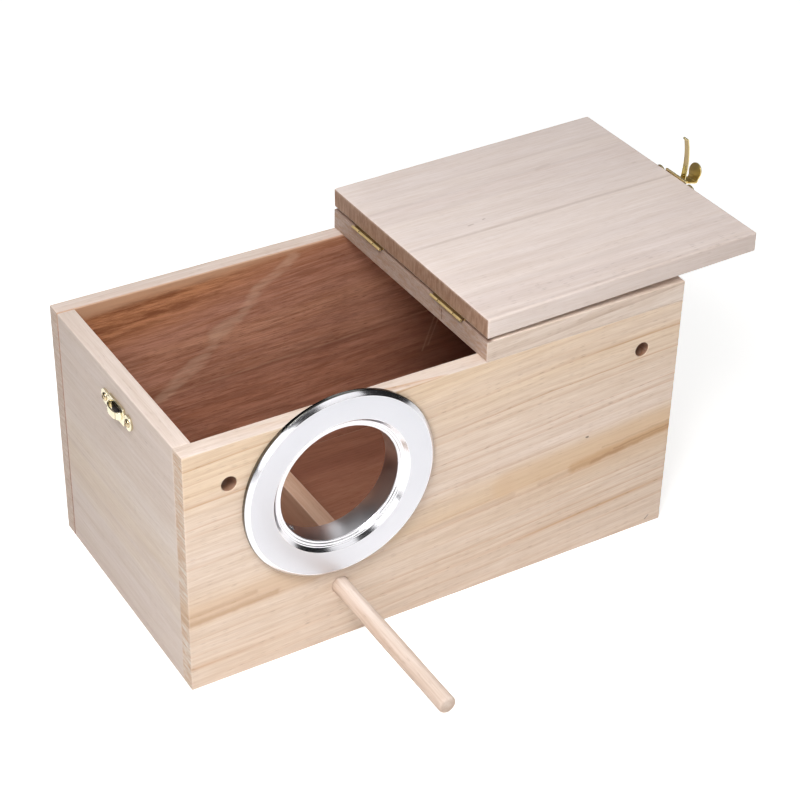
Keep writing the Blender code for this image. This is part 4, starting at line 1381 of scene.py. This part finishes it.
# Two butt hinges. A leaf is drawn to the right of the hinge's axis, and the lid's is mirrored and turned.
hingeParts = {
    "centres": {"front": -41.5 * mm, "rear": 41.5 * mm},
    "owners": {"roof": (1, "carcass", Matrix.Identity(4)), "lid": (-1, "lid", lidTurn)},
    "half": 15 * mm,
    "knuckleEnd": 7.5 * mm,
    "slit": 0.7 * mm,
    "bore": 0.52 * mm,
    "barrel": 0.76 * mm,
    "barrelRounding": 0.1 * mm,
    "pin": 0.46 * mm,
    "pinRounding": 0.2 * mm,
    "leafTop": 160.6 * mm,
    "leaf": 0.4 * mm,
    "leafRounding": 0.12 * mm,
    "finger": 0.7 * mm,
    "near": 1.5 * mm,
    "far": 11.5 * mm,
    "corner": 1.2 * mm,
    "screwOut": 7.2 * mm,
    "screwApart": 19 * mm,
    "screwSunk": 0.14 * mm,
}


def knuckleEdge(owner):
    # how far the slit between the knuckles is from the hinge's middle, on the owner's side of the slit
    inside = hingeParts["half"] - hingeParts["knuckleEnd"]
    way = 1 if owner == "roof" else -1
    return inside + way * hingeParts["slit"] / 2


def leafOutline(owner):
    half, gap = hingeParts["half"], knuckleEdge(owner)
    finger, near, far, corner = [hingeParts[key] for key in ("finger", "near", "far", "corner")]
    outer, inner = (finger, near) if owner == "roof" else (near, finger)
    outline = arc((far - corner, -half + corner), corner, -90, 0, 5)
    outline += arc((far - corner, half - corner), corner, 0, 90, 5)
    outline += [(outer, half), (outer, gap), (inner, gap)]
    return outline + [(inner, -gap), (outer, -gap), (outer, -half)]


def makeLeaf(label, centre, owner):
    parts = hingeParts
    axisX, axisZ = hinge["axis"][0], hinge["axis"][2]
    side, body, turn = parts["owners"][owner]
    leaf = plateMesh("leaf", leafOutline(owner), parts["leaf"], parts["leafRounding"])
    meshes = [moved(leaf, Matrix.Translation((0, 0, parts["leafTop"] - parts["leaf"])))]
    half, gap = parts["half"], knuckleEdge(owner)
    stretches = ((-half, -gap), (gap, half)) if owner == "roof" else ((-gap, gap),)
    for start, end in stretches:
        tube = tubeMesh("knuckle", parts["bore"], parts["barrel"], start, end, parts["barrelRounding"])
        meshes.append(moved(tube, Matrix.Translation((0, 0, axisZ))))
    place = Matrix.Translation((axisX, centre, 0)) @ Matrix.Diagonal((side, 1, 1, 1))
    piece = joined(label + "Hinge" + owner.title() + "Leaf", meshes, "brassHinge", turn @ place)
    onto(piece, body, ["hinge_" + label + "_" + owner + "_leaf"])


def setHingeScrews(owner, side, body, turn):
    parts = hingeParts
    across = hinge["axis"][0] + side * parts["screwOut"]
    high = parts["leafTop"] - parts["screwSunk"]
    places = []
    nodes = []
    for label, centre in parts["centres"].items():
        for end, way in (("front", -1), ("rear", 1)):
            point = Vector((across, centre + way * parts["screwApart"] / 2, high))
            places.append((turn @ point, turn.to_3x3() @ Vector((0, 0, 1))))
            nodes.append("hinge_" + label + "_" + owner + "_screw_" + end)
    setFasteners(owner + "HingeScrews", "hingeScrew", places, 3, body, nodes)


def makeHinges():
    parts = hingeParts
    for label, centre in parts["centres"].items():
        for owner in parts["owners"]:
            makeLeaf(label, centre, owner)
        place = Matrix.Translation((hinge["axis"][0], centre, hinge["axis"][2])) @ alongY
        radius, half, rounding = parts["pin"], parts["half"], parts["pinRounding"]
        pin = pinPiece(label + "HingePin", radius, half, rounding, place, "hingePin")
        onto(pin, "carcass", ["hinge_" + label + "_pin"])
    for owner, (side, body, turn) in parts["owners"].items():
        setHingeScrews(owner, side, body, turn)


# The latch: a keeper on the left end, a base on the lid's end, a lever and a hook, all drawn with the lid
# closed. A place is along the box (x) and up (z). The points of the plates' neck are in millimetres.
latch = {
    "across": -6 * mm,
    "keeperAt": (-150 * mm, 132.5 * mm),
    "baseAt": (-152.8 * mm, 152.5 * mm),
    "leverPivot": (-155.7 * mm, 152.0 * mm),
    "hookPivot": (-155.4 * mm, 155.0 * mm),
    "releasedDegrees": -75,
}
earPlate = {
    "earApart": 27.5 * mm,
    "ear": 4.4 * mm,
    "earEnd": 138,
    "neck": ((9.75, 2.75), (9.3, 3.05), (9.05, 3.6), (8.95, 4.3)),
    "shoulder": (8.15 * mm, 4.45 * mm),
    "shoulderRadius": 0.8 * mm,
    "rounding": 0.22 * mm,
    "seat": 0.1 * mm,
    "keeperSheet": 1.3 * mm,
    "baseSheet": 0.9 * mm,
}


def plateOutline():
    upper = arc((earPlate["earApart"] / 2, 0), earPlate["ear"], 0, earPlate["earEnd"], 14)
    upper += [scaled(point) for point in earPlate["neck"]]
    upper += arc(earPlate["shoulder"], earPlate["shoulderRadius"], 0, 90, 4)
    upper += [(-x, y) for x, y in reversed(upper)]
    return upper + [(-x, -y) for x, y in upper[1:-1]]


def onWall(at):
    return Matrix.Translation((at[0] - earPlate["seat"], latch["across"], at[1]))


def wallPlate(name, sheet, at):
    # drawn across and up, then stood against a face that looks along -X
    plate = plateMesh(name, plateOutline(), sheet, earPlate["rounding"])
    return moved(plate, onWall(at) @ laid("-y", "z", "-x"))


def plateScrews(name, sheet, at, turn, body, nodes, seed):
    places = []
    for way in (-1, 1):
        across = latch["across"] + way * earPlate["earApart"] / 2
        point = Vector((at[0] - earPlate["seat"] - sheet, across, at[1]))
        places.append((turn @ point, turn.to_3x3() @ Vector((-1, 0, 0))))
    setFasteners(name, "plateScrew", places, seed, body, nodes)


# The keeper's bridge is an arch, squarer than a half circle, that the hook reaches behind.
keeperBridge = {
    "steps": 36,
    "half": 6.6 * mm,
    "foot": 0.7 * mm,
    "rise": 3.7 * mm,
    "square": 0.8,
    "sheet": 0.85 * mm,
    "width": 4.6 * mm,
    "rounding": 0.3 * mm,
}


def makeKeeper():
    shape = keeperBridge
    at, sheet = latch["keeperAt"], earPlate["keeperSheet"]
    line = []
    for index in range(shape["steps"] + 1):
        angle = math.pi * (1 - index / shape["steps"])
        across = math.copysign(abs(math.cos(angle)) ** shape["square"], math.cos(angle))
        up = math.sin(angle) ** shape["square"]
        line.append((shape["half"] * across, shape["foot"] + shape["rise"] * up))
    bridge = stripMesh("keeperBridge", line, shape["sheet"], (shape["width"],) * 2, shape["rounding"])
    # its line runs across the box and out of it, and its width stands up
    moved(bridge, onWall(at) @ laid("y", "z", "-x"))
    keeper = joined("keeperPlate", [wallPlate("keeperPlate", sheet, at), bridge], "brassKeeper")
    onto(keeper, "carcass", ["keeper"])
    nodes = ["keeper_screw_front", "keeper_screw_rear"]
    plateScrews("keeperScrews", sheet, at, Matrix.Identity(4), "carcass", nodes, 7)


lugParts = {
    "radius": 1.5 * mm,
    "sheet": 0.8 * mm,
    "rounding": 0.15 * mm,
    "out": 4.2 * mm,
    "root": 0.6,
    "rivetOut": 4.65 * mm,
}


def makeLatchBase(pivot):
    # the plate with its two lugs
    parts = lugParts
    at, sheet = latch["baseAt"], earPlate["baseSheet"]
    radius = parts["radius"]
    rootX = at[0] - earPlate["seat"] - sheet * parts["root"]
    outline = arc(pivot, radius, 90, 270, 12)
    outline += [(rootX, pivot[1] - radius), (rootX, pivot[1] + radius)]
    meshes = [wallPlate("latchBase", sheet, at)]
    for way in (-1, 1):
        lug = plateMesh("lug", outline, parts["sheet"], parts["rounding"])
        offset = latch["across"] + way * parts["out"] - parts["sheet"] / 2
        meshes.append(moved(lug, Matrix.Translation((0, offset, 0)) @ laid("x", "z", "y")))
    onto(joined("latchBase", meshes, "brassPlate", lidTurn), "lid", ["latch_base"])
    nodes = ["latch_base_screw_front", "latch_base_screw_rear"]
    plateScrews("latchScrews", sheet, at, lidTurn, "lid", nodes, 9)

    places = []
    for way in (-1, 1):
        point = Vector((pivot[0], latch["across"] + way * parts["rivetOut"], pivot[1]))
        places.append((lidTurn @ point, (0, way, 0)))
    setFasteners("leverRivets", "rivet", places, 2, "lid", ["lever_rivet_front", "lever_rivet_rear"])


# The lever is drawn with x up along it, y out of the lid's end and z towards the front: two arms, and a
# plate that bends outwards into a round tab with a dimple.
leverParts = {
    "armEnd": 1.3 * mm,
    "armFrom": 5.2 * mm,
    "armTo": 9.6 * mm,
    "armFlare": 1.5,
    "armOut": 3.05 * mm,
    "armSheet": 0.8 * mm,
    "armRounding": 0.15 * mm,
    "sheet": 0.9 * mm,
    "plateFrom": 4.9 * mm,
    "plateTo": 10.6 * mm,
    "plateRise": 3.4 * mm,
    "plateWidth": 8.4 * mm,
    "plateRounding": 0.22 * mm,
    "bend": 1.1 * mm,
    "tabFrom": 2.2 * mm,
    "tabCentre": 5.4 * mm,
    "tabRadius": 5.1 * mm,
    "tabHalf": 4.2 * mm,
    "tabEnd": 118,
    "tabRounding": 0.25 * mm,
    "tabAt": 10.15 * mm,
    "dimpleRadius": 4.2 * mm,
    "dimpleDeep": 0.45 * mm,
}


def leverArm(way):
    parts = leverParts
    half, start, end = parts["sheet"] / 2, parts["armFrom"], parts["armTo"]
    flare = half * parts["armFlare"]
    outline = arc((0, 0), parts["armEnd"], 75, 285, 14)
    outline += [(start, -flare), (end, -half), (end, half), (start, half)]
    arm = plateMesh("arm", outline, parts["armSheet"], parts["armRounding"])
    return moved(arm, Matrix.Translation((0, 0, way * parts["armOut"] - parts["armSheet"] / 2)))


def leverTab():
    parts = leverParts
    half, end = parts["tabHalf"], parts["tabEnd"]
    outline = [(parts["tabFrom"], -half)] + arc((parts["tabCentre"], 0), parts["tabRadius"], -end, end, 40)
    outline.append((parts["tabFrom"], half))
    tab = plateMesh("tab", outline, parts["sheet"], parts["tabRounding"])
    moved(tab, Matrix.Translation((parts["tabAt"], 0, 0)) @ laid("y", "z", "x"))
    piece = newPiece("tab", tab, metals["brassPlate"])
    bm = bmesh.new()
    bmesh.ops.create_uvsphere(bm, u_segments=40, v_segments=40, radius=parts["dimpleRadius"])
    ball = meshFrom("dimple", bm)
    high = parts["tabAt"] + parts["sheet"] + parts["dimpleRadius"] - parts["dimpleDeep"]
    ball.transform(Matrix.Translation((high, parts["tabCentre"], 0)))
    cutHoles(piece, [addObject("dimple", ball)])
    mesh = piece.data
    bpy.data.objects.remove(piece)
    return mesh


def makeLever(pivot, leverTurn):
    parts = leverParts
    corners = [(parts["plateFrom"], 0), (parts["plateTo"], 0), (parts["plateTo"], parts["plateRise"])]
    line = roundedLine(corners, parts["bend"], 8)
    plate = stripMesh("bend", line, parts["sheet"], (parts["plateWidth"],) * 2, parts["plateRounding"])
    moved(plate, laid("x", "z", "y"))
    meshes = [leverArm(-1), leverArm(1), plate, leverTab()]
    place = Matrix.Translation(pivot) @ laid("z", "-x", "-y")
    onto(joined("latchLever", meshes, "brassLever", leverTurn @ place), "lever", ["latch_lever"])


# The hook bows outwards on its way down, and its tip curls in under the bridge.
hookParts = {
    "steps": 18,
    "roundness": 0.9,
    "pin": 0.5 * mm,
    "pinHalf": 3.5 * mm,
    "pinRounding": 0.15 * mm,
    "bore": 0.55 * mm,
    "barrel": 1.15 * mm,
    "barrelHalf": 2.3 * mm,
    "barrelRounding": 0.15 * mm,
    "root": (-0.25 * mm, -0.7 * mm),
    "curlX": -156.1 * mm,
    "curlDrop": 3.05 * mm,
    "curlRadius": 1.5 * mm,
    "curl": (192, 300),
    "bow": 1.3 * mm,
    "sheet": 0.9 * mm,
    "widths": (4.2 * mm, 3.3 * mm),
    "rounding": 0.3 * mm,
    "tip": 1.7 * mm,
}


def hookLine():
    parts = hookParts
    root = Vector(latch["hookPivot"]) + Vector(parts["root"])
    foot = Vector((parts["curlX"], latch["keeperAt"][1] - parts["curlDrop"]))
    line = []
    for index in range(parts["steps"] + 1):
        share = index / parts["steps"]
        straight = root.lerp(foot, share)
        bow = parts["bow"] * math.sin(math.pi * share) ** parts["roundness"]
        line.append((straight.x - bow, straight.y))
    return line + arc((foot.x + parts["curlRadius"], foot.y), parts["curlRadius"], *parts["curl"], 24)


def makeHook(pin, leverTurn, hookTurn):
    parts = hookParts
    place = leverTurn @ Matrix.Translation(pin) @ outOfFront
    rod = pinPiece("hookPin", parts["pin"], parts["pinHalf"], parts["pinRounding"], place, "brassScrew")
    onto(rod, "lever", ["hook_pin"])
    sheet, rounding, tip = parts["sheet"], parts["rounding"], parts["tip"]
    strap = stripMesh("hookStrap", hookLine(), sheet, parts["widths"], rounding, tip)
    moved(strap, Matrix.Translation((0, latch["across"], 0)))
    half = parts["barrelHalf"]
    knuckle = tubeMesh("hookKnuckle", parts["bore"], parts["barrel"], -half, half, parts["barrelRounding"])
    moved(knuckle, Matrix.Translation(pin))
    onto(joined("latchHook", [strap, knuckle], "brassPlate", hookTurn), "hook", ["latch_hook"])


def makeLatch():
    across = latch["across"]
    pivotX, pivotZ = latch["leverPivot"]
    pinX, pinZ = latch["hookPivot"]
    pivot, pin = (pivotX, across, pivotZ), (pinX, across, pinZ)
    released = Matrix.Rotation(math.radians(latch["releasedDegrees"]), 4, "Y")
    leverTurn = turnedAbout(lidTurn, pivot, released)
    hookTurn = turnedAbout(leverTurn, pin, released.inverted())
    makeLatchBase(latch["leverPivot"])
    makeLever(pivot, leverTurn)
    makeHook(pin, leverTurn, hookTurn)


ringScrewPlaces = {"degrees": (225, 45), "deep": -73.4 * mm, "radius": 34.05 * mm}


def makeRingScrews():
    places = []
    for degrees in ringScrewPlaces["degrees"]:
        angle = math.radians(degrees)
        way = Vector((math.cos(angle), 0, math.sin(angle)))
        centre = Vector((entranceX, ringScrewPlaces["deep"], entranceZ))
        places.append((centre + way * ringScrewPlaces["radius"], -way))
    setFasteners("ringScrews", "ringScrew", places, 5, "carcass", ["ring_screw_lower", "ring_screw_upper"],
                 "screwSteel")


makeHinges()
makeKeeper()
makeLatch()
makeRingScrews()
print("hinges, latch and screws made")

bpy.context.view_layer.update()
